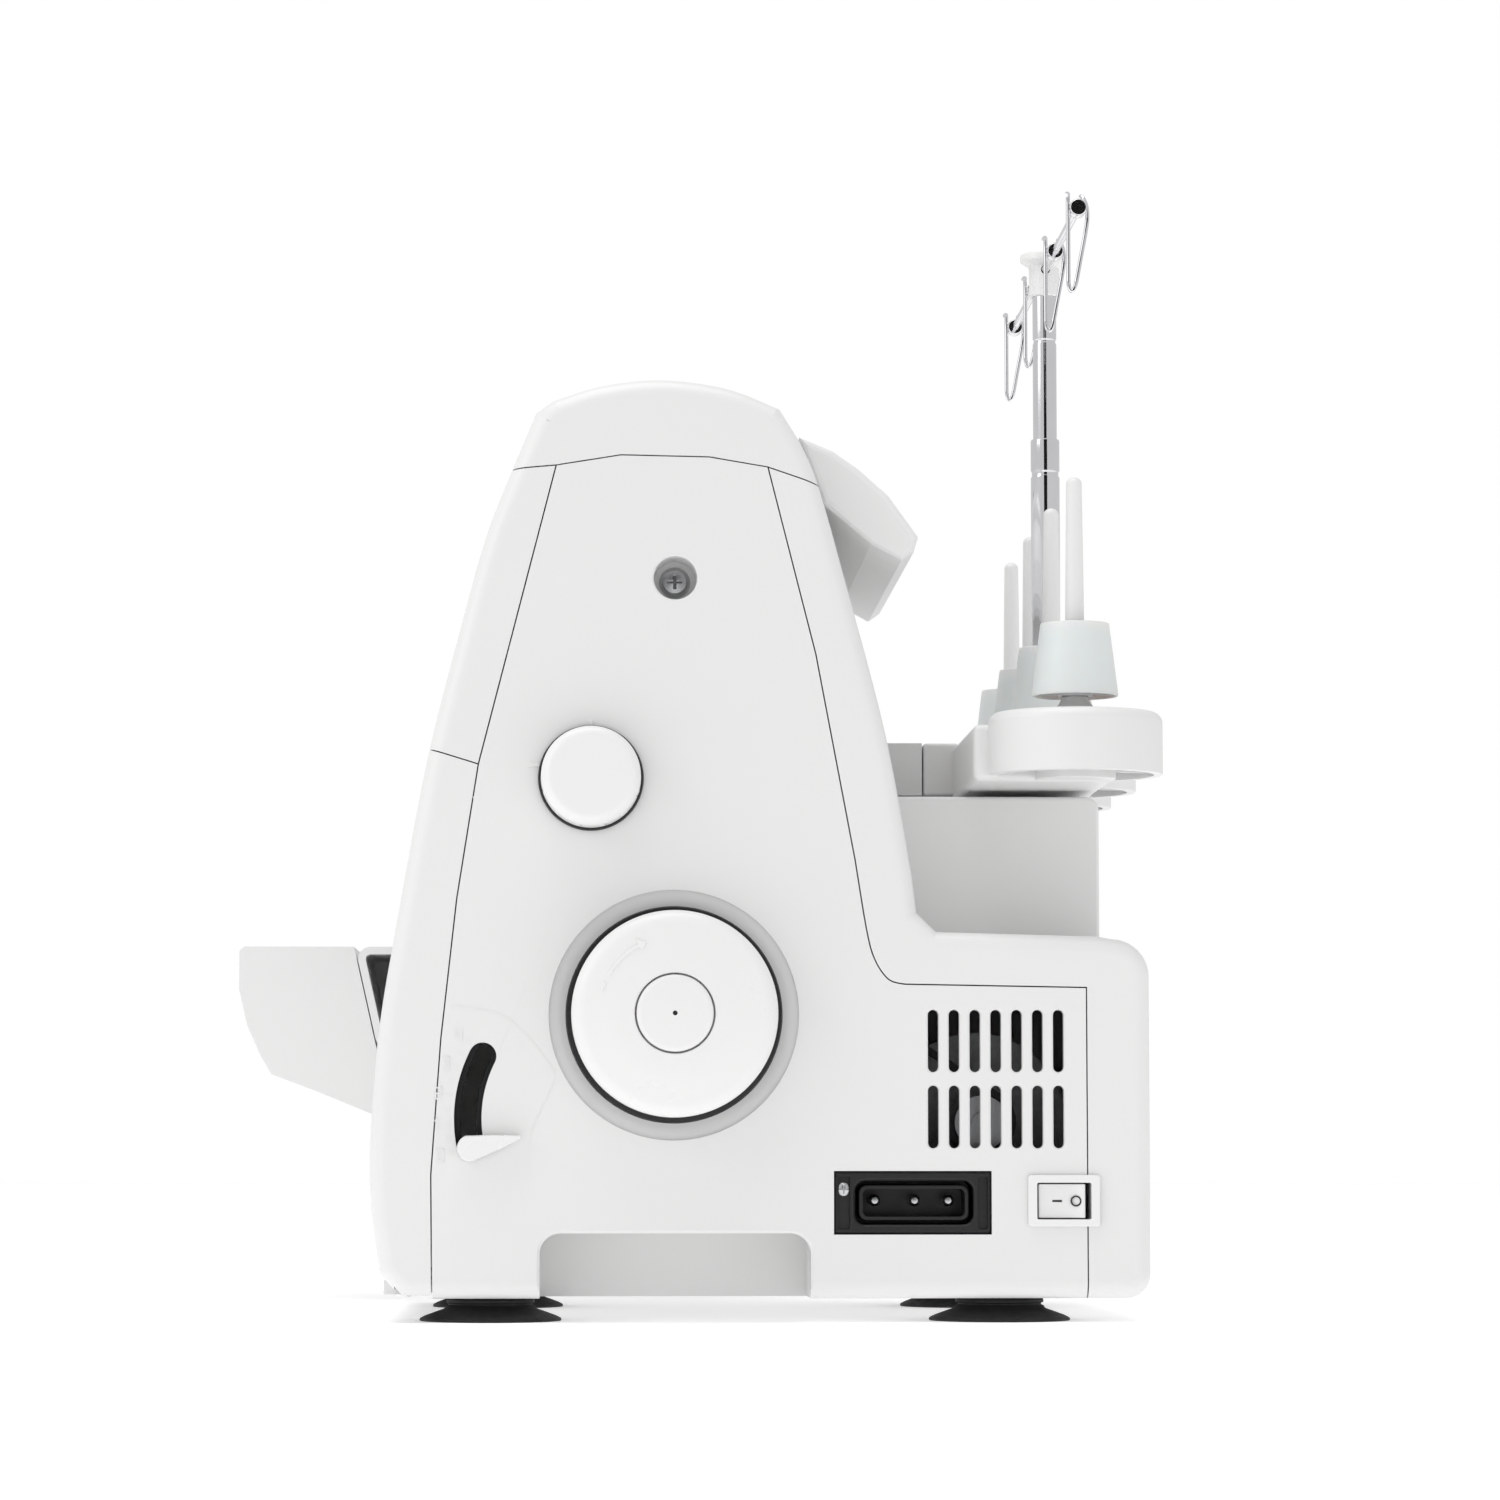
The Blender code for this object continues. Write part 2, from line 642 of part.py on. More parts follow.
def make_front_cover(front):
    """The upper front shell: dial slots, needle opening and the bed's cut-outs."""
    slots = together(
        [
            box(
                (x - TENSION_WIDE / 2 - 0.8, x + TENSION_WIDE / 2 + 0.8),
                (-60, TENSION_Y + 4),
                (TENSION_Z - 14, TENSION_Z + 14),
            )
            for x in TENSION_X
        ]
    )
    bars = box((NEEDLE_X - 9, NEEDLE_X + 9), (NEEDLE_Y - 9, PRESSER_Y + 7), (HEAD_Z - 3, HEAD_Z + 5))
    lamp = box(LAMP_X, LAMP_Y, (HEAD_Z - 3, HEAD_Z + 5))
    plate_hole = box((PLATE_X[0] - FIT, -157.0), (PLATE_Y[0] - FIT, PLATE_Y[1] + FIT), (BED_Z - 5, BED_Z + 3))
    arm = box((-200, -185), (-3, 49), (81, 104))
    return part("front_upper_cover", carve(front, slots, bars, lamp, plate_hole, arm), "white_shell")


def make_rear_cover(rear):
    """The rear shell with the spool stand's housing behind it."""
    lifter = rod((LIFTER_X, 50, LIFTER_Z), (LIFTER_X, 99, LIFTER_Z), 5.0 + FIT)
    arm = box((-200, -185), (-3, 49), (81, 104))
    switch = switch_box(1.0, (-30, 5))
    bracket_boss = box((-150, -100), (70, 106.3), (160.6, 177))
    inner_cut = plate(inset(body_outline(), WALL / 2), -COLUMN_WIDTH + WALL, -WALL)
    fuse(rear, carve(bracket_boss, inner_cut))
    return part("rear_cover", carve(rear, lifter, arm, switch), "white_shell")


def make_covers():
    """Divide the skin along its seams and give each cover its openings."""
    rest = body_shell()
    make_right_cover(take(rest, panel_region))
    top = take(rest, top_region)
    stem = rod((NEEDLE_X, PRESSER_Y, 260), (NEEDLE_X, PRESSER_Y, 290), 3.0 + FIT + 0.3, sides=16)
    part("top_cover", carve(top, stem), "white_shell")
    make_looper_cover(take(rest, looper_region))
    make_base_pan(take(rest, pan_region))
    part("head_end_cover", take(rest, end_region), "white_shell")
    make_front_cover(take(rest, front_region))
    make_rear_cover(rest)


# ---- frame and drive -----------------------------------------------------------
def make_frame():
    """The casting: a C seen from the front, bored for the shaft and the two bars."""
    outline = [
        (-32.0, 9.9), (-32.0, 232.0), (-228.0, 232.0), (-228.0, 190.0), (-134.0, 190.0), (-134.0, 102.0),
        (-250.0, 102.0), (-250.0, 85.0), (-190.0, 85.0), (-190.0, 76.0), (-134.0, 76.0), (-134.0, 9.9),
    ]
    frame = plate(outline, 0.0, 46.0, "XZ")
    frame = carve(
        frame,
        rod((-187, WHEEL_Y, WHEEL_Z), (-20, WHEEL_Y, WHEEL_Z), SHAFT_R + 0.5),
        rod((NEEDLE_X, NEEDLE_Y, 180), (NEEDLE_X, NEEDLE_Y, 240), NEEDLE_BAR_R + 0.3, sides=16),
        rod((NEEDLE_X, PRESSER_Y, 180), (NEEDLE_X, PRESSER_Y, 240), PRESSER_BAR_R + 0.3, sides=16),
        box((-188.5, -157.5), (-1, 16), (92, 104)),
        box((-112, -56), (-1, 47), (122, 182)),
    )
    part("main_frame", frame, "cast_frame")


def make_drive():
    """Hand wheel, main shaft, belt, motor pulley and motor."""
    centre = (0.0, WHEEL_Y, WHEEL_Z)
    bore = SHAFT_R + FIT
    wheel = [
        (bore, -11.0), (8.0, -11.0), (8.0, 3.6), (WHEEL_R, 3.6), (WHEEL_R, 15.2), (WHEEL_R - 0.8, 17.0),
        (WHEEL_R - 2.6, 18.2), (11.6, 19.4), (11.6, 16.2), (bore, 16.2),
    ]
    part("handwheel", turned(wheel, centre, sides=40), "white_knob", centre)
    rim = [(20.0, -2.6), (WHEEL_RIM_R - 0.8, -2.6), (WHEEL_RIM_R, -1.8), (WHEEL_RIM_R, 3.2), (20.0, 3.2)]
    part("handwheel_rim", turned(rim, centre, sides=40), "black_plastic", centre)
    cap = [(0.0, WHEEL_FACE), (9.8, WHEEL_FACE - 0.2), (11.1, WHEEL_FACE - 0.8), (11.1, 16.6), (0.0, 16.6)]
    part("handwheel_cap", turned(cap, centre), "white_knob", centre)
    low, high = PULLEY_X
    shaft = [
        (0.0, 15.8), (SHAFT_R, 15.8), (SHAFT_R, high), (PULLEY_R, high), (PULLEY_R, low), (SHAFT_R, low),
        (SHAFT_R, -185.0), (0.0, -185.0),
    ]
    part("main_shaft", turned(shaft, centre, sides=32), "steel_working", centre)
    motor_centre = (0.0, MOTOR_Y, MOTOR_Z)
    pulley = [
        (0.0, high + 2), (3.0, high + 2), (3.0, high), (MOTOR_PULLEY_R, high), (MOTOR_PULLEY_R, low), (3.0, low),
        (3.0, -39.0), (0.0, -39.0),
    ]
    part("motor_pulley", turned(pulley, motor_centre, sides=24), "steel_working", motor_centre)
    can = [(0.0, -40.0), (9.0, -40.0), (9.0, -43.0), (MOTOR_R, -43.0), (MOTOR_R, -112.0), (0.0, -112.0)]
    motor = fuse(
        turned(can, motor_centre, sides=32),
        box((-104, -52), (MOTOR_Y - 20, MOTOR_Y + 20), (BODY_Z + WALL + FIT, MOTOR_Z - 10)),
    )
    part("drive_motor", motor, "cast_frame", motor_centre)
    make_belt()


def make_belt():
    """The belt: two arcs and the tangents between them, on both pulleys."""
    gap = Vector((MOTOR_Y - WHEEL_Y, MOTOR_Z - WHEEL_Z))
    heading = math.degrees(math.atan2(gap.y, gap.x))
    spread = math.degrees(math.acos((PULLEY_R - MOTOR_PULLEY_R) / gap.length))

    def loop(extra):
        big = arc((WHEEL_Y, WHEEL_Z), PULLEY_R + extra, heading + spread, heading + 360 - spread, 24)
        small = arc((MOTOR_Y, MOTOR_Z), MOTOR_PULLEY_R + extra, heading - spread, heading + spread, 10)
        return big + small

    low, high = PULLEY_X
    belt = carve(
        plate(loop(0.3 + BELT_THICK), low + 1, high - 1),
        plate(loop(0.3), low - 1, high + 1),
    )
    part("drive_belt", belt, "belt_rubber")


# ---- stitching parts -----------------------------------------------------------
def make_needles():
    """Needle bar with its clamp, and the two needles."""
    top = (NEEDLE_X, NEEDLE_Y, 246.0)
    clamp = [(0.0, CLAMP_Z), (6.0, CLAMP_Z), (6.0, CLAMP_Z + 9), (NEEDLE_BAR_R, CLAMP_Z + 10), (NEEDLE_BAR_R, top[2])]
    profile = [(0.0, top[2])] + clamp[::-1]
    bar = turned(profile, (NEEDLE_X, NEEDLE_Y, 0.0), (0, 0, 1), 20)
    part("needle_bar", bar, "steel_working", (NEEDLE_X, NEEDLE_Y, CLAMP_Z))
    for name, side in (("needle_left", -1), ("needle_right", 1)):
        x = NEEDLE_X + side * NEEDLE_PITCH / 2
        root, tip = CLAMP_Z - FIT, NEEDLE_TIP_Z
        profile = [(0.0, root), (1.0, root), (1.0, root - 9), (0.6, root - 11), (0.6, tip + 4), (0.15, tip), (0.0, tip)]
        needle = turned(profile, (x, NEEDLE_Y, 0.0), (0, 0, 1), 12)
        part(name, needle, "steel_working", (x, NEEDLE_Y, root))


def make_presser():
    """Presser bar, the foot that rocks on it, its lifter and the pressure screw."""
    foot_z = BED_Z + 0.6
    bar = fuse(
        rod((NEEDLE_X, PRESSER_Y, 138), (NEEDLE_X, PRESSER_Y, 244), PRESSER_BAR_R, sides=16),
        box((NEEDLE_X - 3.5, NEEDLE_X + 3.5), (PRESSER_Y - 4, PRESSER_Y + 4), (129, 142)),
        rod((NEEDLE_X - 7, PRESSER_Y, foot_z + 8), (NEEDLE_X + 7, PRESSER_Y, foot_z + 8), 1.2, sides=12),
        box((NEEDLE_X - 3.5, NEEDLE_X + 3.5), (PRESSER_Y - 2.2, PRESSER_Y + 2.2), (foot_z + 7, 131)),
    )
    part("presser_bar", bar, "steel_working", (NEEDLE_X, PRESSER_Y, 138))
    sole = [(-6, 0.8), (-2, 0), (30, 0), (30, 2.2), (-2, 2.2), (-6, 2.6)]
    sole = [(y, foot_z + z) for y, z in sole]
    foot = plate(sole, NEEDLE_X - 11, NEEDLE_X + 9)
    cheeks = [
        box((NEEDLE_X + a, NEEDLE_X + b), (PRESSER_Y - 4, PRESSER_Y + 4), (foot_z + 1, foot_z + 11))
        for a, b in ((-7.4, -4.4), (4.4, 7.4))
    ]
    foot = fuse(foot, *cheeks)
    foot = carve(
        foot,
        box((NEEDLE_X - 4.4, NEEDLE_X + 4.4), (NEEDLE_Y - 3, NEEDLE_Y + 3), (foot_z - 5, foot_z + 8)),
        rod((NEEDLE_X - 9, PRESSER_Y, foot_z + 8), (NEEDLE_X + 9, PRESSER_Y, foot_z + 8), 1.5, sides=12),
    )
    part("presser_foot", foot, "steel_working", (NEEDLE_X, PRESSER_Y, foot_z + 8))
    hub = rod((LIFTER_X, 66, LIFTER_Z), (LIFTER_X, 97, LIFTER_Z), 5.0)
    lever = [(6, -5), (6, 5), (-6, 6), (-28, 1), (-32, -3), (-31, -6), (-8, -5)]
    arm = ease(plate([(LIFTER_X + a, LIFTER_Z + b) for a, b in lever], 92.0, 97.5, "XZ"), 1.2, sharp, 2)
    part("presser_lifter", fuse(arm, hub), "white_knob", (LIFTER_X, 94, LIFTER_Z))
    knob = [(0.0, 287.0), (7.4, 287.0), (8.4, 286.0), (9.0, 277.2), (3.0, 277.2), (3.0, 252.0), (0.0, 252.0)]
    screw = turned(knob, (NEEDLE_X, PRESSER_Y, 0), (0, 0, 1), 24)
    part("pressure_screw", screw, "white_knob", (NEEDLE_X, PRESSER_Y, 277.2))


def make_stitch_plate():
    """Needle plate, feed dog and lower knife."""
    low, high = NEEDLE_X - 8.0, NEEDLE_X + 8.0
    ribs = [(low, low + 2.5), (high - 2.5, high)]
    sheet = box(PLATE_X, PLATE_Y, (BED_Z - 2.1, BED_Z))
    slots = [
        box((a - 0.6, b + 0.6), (NEEDLE_Y - 16, NEEDLE_Y + 20), (BED_Z - 5, BED_Z + 3)) for a, b in ribs
    ]
    eye = box((NEEDLE_X - 4, NEEDLE_X + 4), (NEEDLE_Y - 1.6, NEEDLE_Y + 1.6), (BED_Z - 5, BED_Z + 3))
    part("needle_plate", carve(sheet, eye, *slots), "steel_working")
    bars = []
    for a, b in ribs:
        teeth = [(-2.4, 104.0), (25.0, 104.0)]
        for tooth in range(7, -1, -1):
            start = NEEDLE_Y - 10 + tooth * 3.3
            teeth += [(start + 3.2, 115.4), (start + 0.6, BED_Z - 0.4)]
        bars.append(plate(teeth, a, b))
    cross = box((low, high), (19.0, 25.0), (104.0, 112.0))
    part("feed_dog", fuse(cross, *bars), "steel_working", (NEEDLE_X, 22.0, 108.0))
    blade = box((PLATE_X[1] + 0.3, PLATE_X[1] + 1.7), (-10, 6), (103.0, BED_Z + 0.2))
    part("lower_knife", blade, "steel_working")


def make_loopers():
    """Two loopers and the upper knife, each on its own pivot."""
    lower_pivot, upper_pivot = (-160.0, -6.5, 62.0), (-148.0, -14.5, 66.0)
    lower = [(4, -2), (3, 26), (-6, 38), (-16, 43), (-17.5, 42), (-8, 33), (-3, 22), (-4, -2)]
    arm = plate([(lower_pivot[0] + a, lower_pivot[2] + b) for a, b in lower], -8.0, -5.0, "XZ")
    hub = rod((lower_pivot[0], -9.0, lower_pivot[2]), (lower_pivot[0], -1.0, lower_pivot[2]), 6.0, sides=16)
    part("lower_looper", fuse(hub, arm), "steel_working", lower_pivot)
    upper = [(4, -2), (2, 22), (-8, 36), (-19, 41), (-20.5, 39.5), (-11, 31), (-5, 18), (-4, -2)]
    arm = plate([(upper_pivot[0] + a, upper_pivot[2] + b) for a, b in upper], -16.0, -13.0, "XZ")
    hub = rod((upper_pivot[0], -17.0, upper_pivot[2]), (upper_pivot[0], -1.0, upper_pivot[2]), 5.0, sides=16)
    part("upper_looper", fuse(hub, arm), "steel_working", upper_pivot)
    pivot = (-162.0, -24.0, 96.0)
    outline = [(-29, 92), (-19, 92), (-19, 110.8), (6, 110.8), (6, 128), (-6, 124), (-12, 117), (-29, 112)]
    blade = plate(outline, -165.2, -163.4)
    hub = rod((-166.0, *pivot[1:]), (-158.0, *pivot[1:]), 6.0, sides=16)
    part("upper_knife", fuse(hub, blade), "steel_working", pivot)


# ---- free arm and extension table ----------------------------------------------
ARM_OUTLINE = rounded(
    [(-75.0, BED_Z, 4.0), (-67.0, 82.0, 6.0), (60.0, 80.0, 6.0), (72.0, 92.0, 4.0), (72.0, BED_Z, 3.0)]
)
TABLE_FRONT = [
    (-61.0, 58.5), (-61.0, BED_Z), (-111.6, BED_Z), (-113.1, 115.5), (-113.1, 103.0), (-110.4, 91.2),
    (-106.1, 81.5), (-102.3, 74.9), (-87.1, 69.2),
]


def make_bed():
    """The free arm's shell and the table that slides over it."""
    arm = plate(ARM_OUTLINE, -FREE_ARM_END, -BASE_WIDTH - 0.5)
    hollow = plate(inset(ARM_OUTLINE, WALL), -FREE_ARM_END + WALL, -BASE_WIDTH + 5)
    part("free_arm_cover", carve(arm, hollow), "white_shell")
    clear = 1.5
    front = plate(TABLE_FRONT, -TABLE_END, -BASE_WIDTH - 0.6)
    side = plate(
        [(-62.0, 60.5), (75.0, 60.5), (75.0, BED_Z), (-62.0, BED_Z)], -TABLE_END, -FREE_ARM_END - clear
    )
    table = fuse(front, side)
    arm_space = inset(ARM_OUTLINE, -clear)
    low, high = min(y for y, _ in arm_space), max(y for y, _ in arm_space)
    slanted = [(low, BED_Z + 9), (low, BED_Z), (low + 15.3, 50.0), (high + 20, 50.0), (high + 20, BED_Z + 9)]
    table = carve(table, plate(slanted, -FREE_ARM_END - clear, -BASE_WIDTH + 5))
    front_hollow = [(-79.0, 50.0), (-79.0, 113.5), (-109.5, 113.5), (-109.5, 103.5), (-107.0, 92.5), (-99.0, 76.0),
                    (-86.5, 50.0)]
    table = carve(
        table,
        plate(front_hollow, -TABLE_END + 3, -BASE_WIDTH - 3.6),
        box((-TABLE_END + 3, -FREE_ARM_END - clear - 3), (-79, 72), (50, 113.5)),
    )
    part("extension_table", table, "white_shell", (-TABLE_END, 0, BED_Z))


# ---- thread stand --------------------------------------------------------------
def make_spool_stand():
    """The stand: four dished discs on a bar, with the bracket that meets the body."""
    bar = box((PIN_X[3], PIN_X[0]), (116.0, 158.0), (159.0, 176.0))
    seat = box((-150, -100), (106.7, 118.0), (160.6, 177.0))
    low, high = DISC_Z
    profile = [
        (0.0, high + 0.3), (DISC_R - 4, high), (DISC_R - 1, high - 1), (DISC_R, high - 3.5), (DISC_R, low),
        (DISC_R - 3, low), (DISC_R - 3, high - 4), (12.0, high - 4), (12.0, low - 1.2), (0.0, low - 1.2),
    ]
    discs = [turned(profile, (x, PIN_Y, 0.0), (0, 0, 1), 28) for x in PIN_X]
    stand = fuse(bar, seat, *discs)
    sockets = [rod((x, PIN_Y, high - 6), (x, PIN_Y, high + 5), 2.5 + FIT, sides=16) for x in PIN_X]
    mast_hole = rod((MAST_X, MAST_Y, 166.0), (MAST_X, MAST_Y, 190.0), MAST_R + FIT)
    part("spool_stand", carve(stand, mast_hole, *sockets), "white_shell")


def make_spools():
    """Spool pins and the cone adapters that drop over them."""
    high = DISC_Z[1]
    pin = [
        (0.0, PIN_TOP), (1.9, PIN_TOP), (2.35, PIN_TOP - 0.6), (3.1, 184.2), (3.7, 184.0), (6.5, high + 0.7),
        (2.5, high + 0.7), (2.5, high - 5.5), (0.0, high - 5.5),
    ]
    places = [(x, PIN_Y, high) for x in PIN_X]
    origin = (0.0, 0.0, -high)
    copies("spool_pin", turned(pin, origin, (0, 0, 1), 12), "white_shell", places)
    cone = [
        (10.3, CONE_Z[1]), (12.85, CONE_Z[0]), (4.1, CONE_Z[0]), (4.1, CONE_Z[1]),
    ]
    copies("cone_adapter", turned(cone, origin, (0, 0, 1), 24), "cone_plastic", places)


def make_mast():
    """Telescopic mast with its cap and the thread guides."""
    centre = (MAST_X, MAST_Y, 0.0)
    lower = [(MAST_R, 166.5), (MAST_INNER_R, 166.5), (MAST_INNER_R, MAST_TOP), (MAST_R, MAST_TOP)]
    part("mast_lower_tube", turned(lower, centre, (0, 0, 1), 24), "chrome_wire", (MAST_X, MAST_Y, 166.5))
    upper = rod((MAST_X, MAST_Y, 212.0), (MAST_X, MAST_Y, UPPER_TOP + 6.0), UPPER_R, sides=24)
    part("mast_upper_tube", upper, "chrome_wire", (MAST_X, MAST_Y, UPPER_TOP))
    cap = [
        (0.0, CAP_TOP), (7.2, CAP_TOP), (7.7, CAP_TOP - 0.6), (7.7, CAP_TOP - 2.6), (4.9, CAP_TOP - 4.2),
        (4.9, UPPER_TOP), (UPPER_R + 0.15, UPPER_TOP), (UPPER_R + 0.15, UPPER_TOP + 6.3), (0.0, UPPER_TOP + 6.3),
    ]
    cap = turned(cap, centre, (0, 0, 1), 24)
    bar_z = GUIDE_BAR_Z + 1.2
    bore = rod((MAST_X - 20, MAST_Y, bar_z), (MAST_X + 20, MAST_Y, bar_z), 1.45, sides=12)
    part("mast_cap", carve(cap, bore), "white_knob", (MAST_X, MAST_Y, UPPER_TOP))
    bar = rod((PIN_X[3] - 2, MAST_Y, bar_z), (PIN_X[0] + 2, MAST_Y, bar_z), 1.2, sides=12)
    low, high = GUIDE_Z
    for x in PIN_X:
        loop = wire(
            [
                (x + 1.5, 145.0, high), (x, 145.0, high - 2), (x, 145.0, low + 1.5), (x, 145.8, low),
                (x, 146.9, low + 1.5), (x, 150.6, high - 9), (x, 149.6, high - 1), (x - 1.5, 149.6, high),
            ],
            WIRE_R,
        )
        collar = rod((x - 2.5, MAST_Y, bar_z), (x + 2.5, MAST_Y, bar_z), 3.0, sides=12)
        bar = fuse(bar, collar, loop)
    part("thread_guide_bar", bar, "chrome_wire", (MAST_X, MAST_Y, bar_z))


# ---- controls ------------------------------------------------------------------
def make_controls():
    """Stitch length dial, feed lever, tension dials, switch, inlet and screws."""
    centre = (0.0, DIAL_Y, DIAL_Z)
    dial = [
        (0.0, DIAL_FACE), (DIAL_R - 3.2, DIAL_FACE - 0.3), (DIAL_R - 1.0, DIAL_FACE - 1.4), (DIAL_R, DIAL_FACE - 3.6),
        (DIAL_R, 0.6), (4.2, 0.6), (4.2, -9.0), (0.0, -9.0),
    ]
    part("stitch_length_dial", turned(dial, centre, sides=40), "white_knob", centre)
    lever_centre = (-12.0, LEVER_Y, LEVER_Z)
    knob_y, knob_z = arc((LEVER_Y, LEVER_Z), LEVER_R, LEVER_REST, LEVER_REST, 1)[0]
    hub = rod((-15.0, LEVER_Y, LEVER_Z), (-11.0, LEVER_Y, LEVER_Z), 6.0, sides=16)
    side = Vector((knob_z - LEVER_Z, -(knob_y - LEVER_Y))).normalized() * 3.0
    arm_outline = [
        (LEVER_Y + side.x, LEVER_Z + side.y), (LEVER_Y - side.x, LEVER_Z - side.y),
        (knob_y - side.x, knob_z - side.y), (knob_y + side.x, knob_z + side.y),
    ]
    arm = plate(arm_outline, -14.6, -11.4)
    stem = rod((-14.0, knob_y, knob_z), (3.0, knob_y, knob_z), 1.8, sides=12)
    pull = rod((0.6, knob_y, knob_z), (6.5, knob_y, knob_z), 3.9, 3.5, sides=20)
    tip = Vector((LEVER_Y - knob_y, LEVER_Z - knob_z)).normalized() * 15.0
    wide = Vector((-tip.y, tip.x)).normalized() * 3.6
    blade = plate(
        [
            (knob_y + wide.x, knob_z + wide.y), (knob_y - wide.x, knob_z - wide.y),
            (knob_y + tip.x, knob_z + tip.y), (knob_y + tip.x * 1.02, knob_z + tip.y * 0.98),
        ],
        0.6, 5.2,
    )
    part("feed_lever", fuse(hub, arm, stem, pull, blade), "white_knob", lever_centre)
    half, edge = TENSION_WIDE / 2, 0.8
    wheel = [
        (0.0, half), (TENSION_R - edge, half), (TENSION_R, half - edge), (TENSION_R, edge - half),
        (TENSION_R - edge, -half), (0.0, -half),
    ]
    places = [(x, TENSION_Y, TENSION_Z) for x in TENSION_X]
    copies("tension_dial", turned(wheel, (0, 0, 0), sides=28), "white_knob", places)
    make_inlet()
    make_switch()
    screw = [
        (0.0, -SCREW_DEEP + 3.0), (3.4, -SCREW_DEEP + 2.6), (4.6, -SCREW_DEEP + FIT), (2.0, -SCREW_DEEP + FIT),
        (2.0, -31.6), (0.0, -31.6),
    ]
    screw = turned(screw, (0.0, SCREW_Y, SCREW_Z), sides=20)
    cross = [
        box((-SCREW_DEEP + 1.6, -5), (SCREW_Y - a, SCREW_Y + a), (SCREW_Z - b, SCREW_Z + b))
        for a, b in ((2.2, 0.5), (0.5, 2.2))
    ]
    part("side_cover_screw", carve(screw, *cross), "steel_working")
    lens = box(
        (LAMP_X[0] + FIT, LAMP_X[1] - FIT), (LAMP_Y[0] + FIT, LAMP_Y[1] - FIT), (HEAD_Z - 1.2, HEAD_Z + 3.2)
    )
    part("lamp_lens", ease(lens, 0.8, sharp, 1), "lamp_plastic")


def make_inlet():
    """The mains inlet: a socket with a recessed shroud and three pins."""
    body = inlet_box(-FIT, (-22.0, -0.8))
    recess = box((-15.0, 2.0), (79.4, 113.9), (28.4, 41.0))
    body = carve(body, recess)
    pins = [rod((-17.0, y, 35.3), (-4.0, y, 35.3), 1.7, sides=12) for y in (85.4, 97.0, 106.8)]
    part("power_inlet", fuse(body, *pins), "black_plastic")


def make_switch():
    """The switch's bezel and its rocker, at rest with the front end pressed."""
    flange = ease(switch_box(0.0, (FIT, 1.5)), 0.5, sharp, 1)
    bezel = fuse(flange, switch_box(1.0 + FIT, (-23.0, 1.0)))
    window = box((-20.0, 5.0), (SWITCH_Y[0] + 2.6, SWITCH_Y[1] - 2.6), (SWITCH_Z[0] + 2.1, SWITCH_Z[1] - 2.3))
    part("switch_bezel", carve(bezel, window), "white_knob")
    middle = (SWITCH_Y[0] + SWITCH_Y[1]) / 2
    low, high = SWITCH_Z[0] + 2.5, SWITCH_Z[1] - 2.7
    pivot = Vector((-6.0, middle, (low + high) / 2))
    outline = [(-6.6, 6.8), (2.6, 6.8), (1.6, 0.0), (2.6, -6.8), (-6.6, -6.8), (-8.0, 0.0)]
    rocker = plate([(pivot.x + a + 4, pivot.y + b) for a, b in outline], low, high, "XY")
    tilt = Matrix.Rotation(math.radians(ROCKER_TILT), 4, "Z")
    place = Matrix.Translation(pivot * MM)
    rocker.data.transform(place @ tilt @ place.inverted())
    part("power_rocker", rocker, "white_knob", pivot)


# ---- handle and feet -----------------------------------------------------------
def make_handle():
    """The carrying handle, a curved bar across the back of the head."""
    outline = [
        (64.4, 261.8), (74.3, 257.7), (81.9, 252.4), (90.9, 244.4), (99.8, 232.0), (98.5, 227.5), (94.7, 224.8),
        (85.7, 229.7), (71.6, 241.6),
    ]
    part("carry_handle", ease(plate(outline[::-1], -187.0, -20.0), 2.0, at_x(-20.0)), "white_shell")


def make_feet():
    """Four suction feet, each with a stud through the base pan."""
    top = BODY_Z - FIT
    profile = [
        (0.0, BODY_Z + 7.0), (STUD_R, BODY_Z + 7.0), (STUD_R, top), (FOOT_NECK_R, top), (FOOT_NECK_R, 3.4),
        (FOOT_R, 1.0), (FOOT_R, 0.0), (0.0, 0.0),
    ]
    places = [(x, y, 0.0) for x in FOOT_X for y in FOOT_Y]
    copies("foot", turned(profile, (0, 0, 0), (0, 0, 1), 24), "rubber_foot", places)


make_covers()
make_frame()
make_drive()
make_needles()
make_presser()
make_stitch_plate()
make_loopers()
make_bed()
make_spool_stand()
make_spools()
make_mast()
make_controls()
make_handle()
make_feet()
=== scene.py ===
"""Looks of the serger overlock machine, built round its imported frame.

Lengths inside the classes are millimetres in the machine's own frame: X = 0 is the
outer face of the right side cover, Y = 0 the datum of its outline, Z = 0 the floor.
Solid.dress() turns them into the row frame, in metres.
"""

from __future__ import annotations

import logging
import math
from collections.abc import Callable, Iterable, Sequence
from dataclasses import dataclass, field
from enum import Enum

import bmesh
import bpy
from mathutils import Matrix, Vector


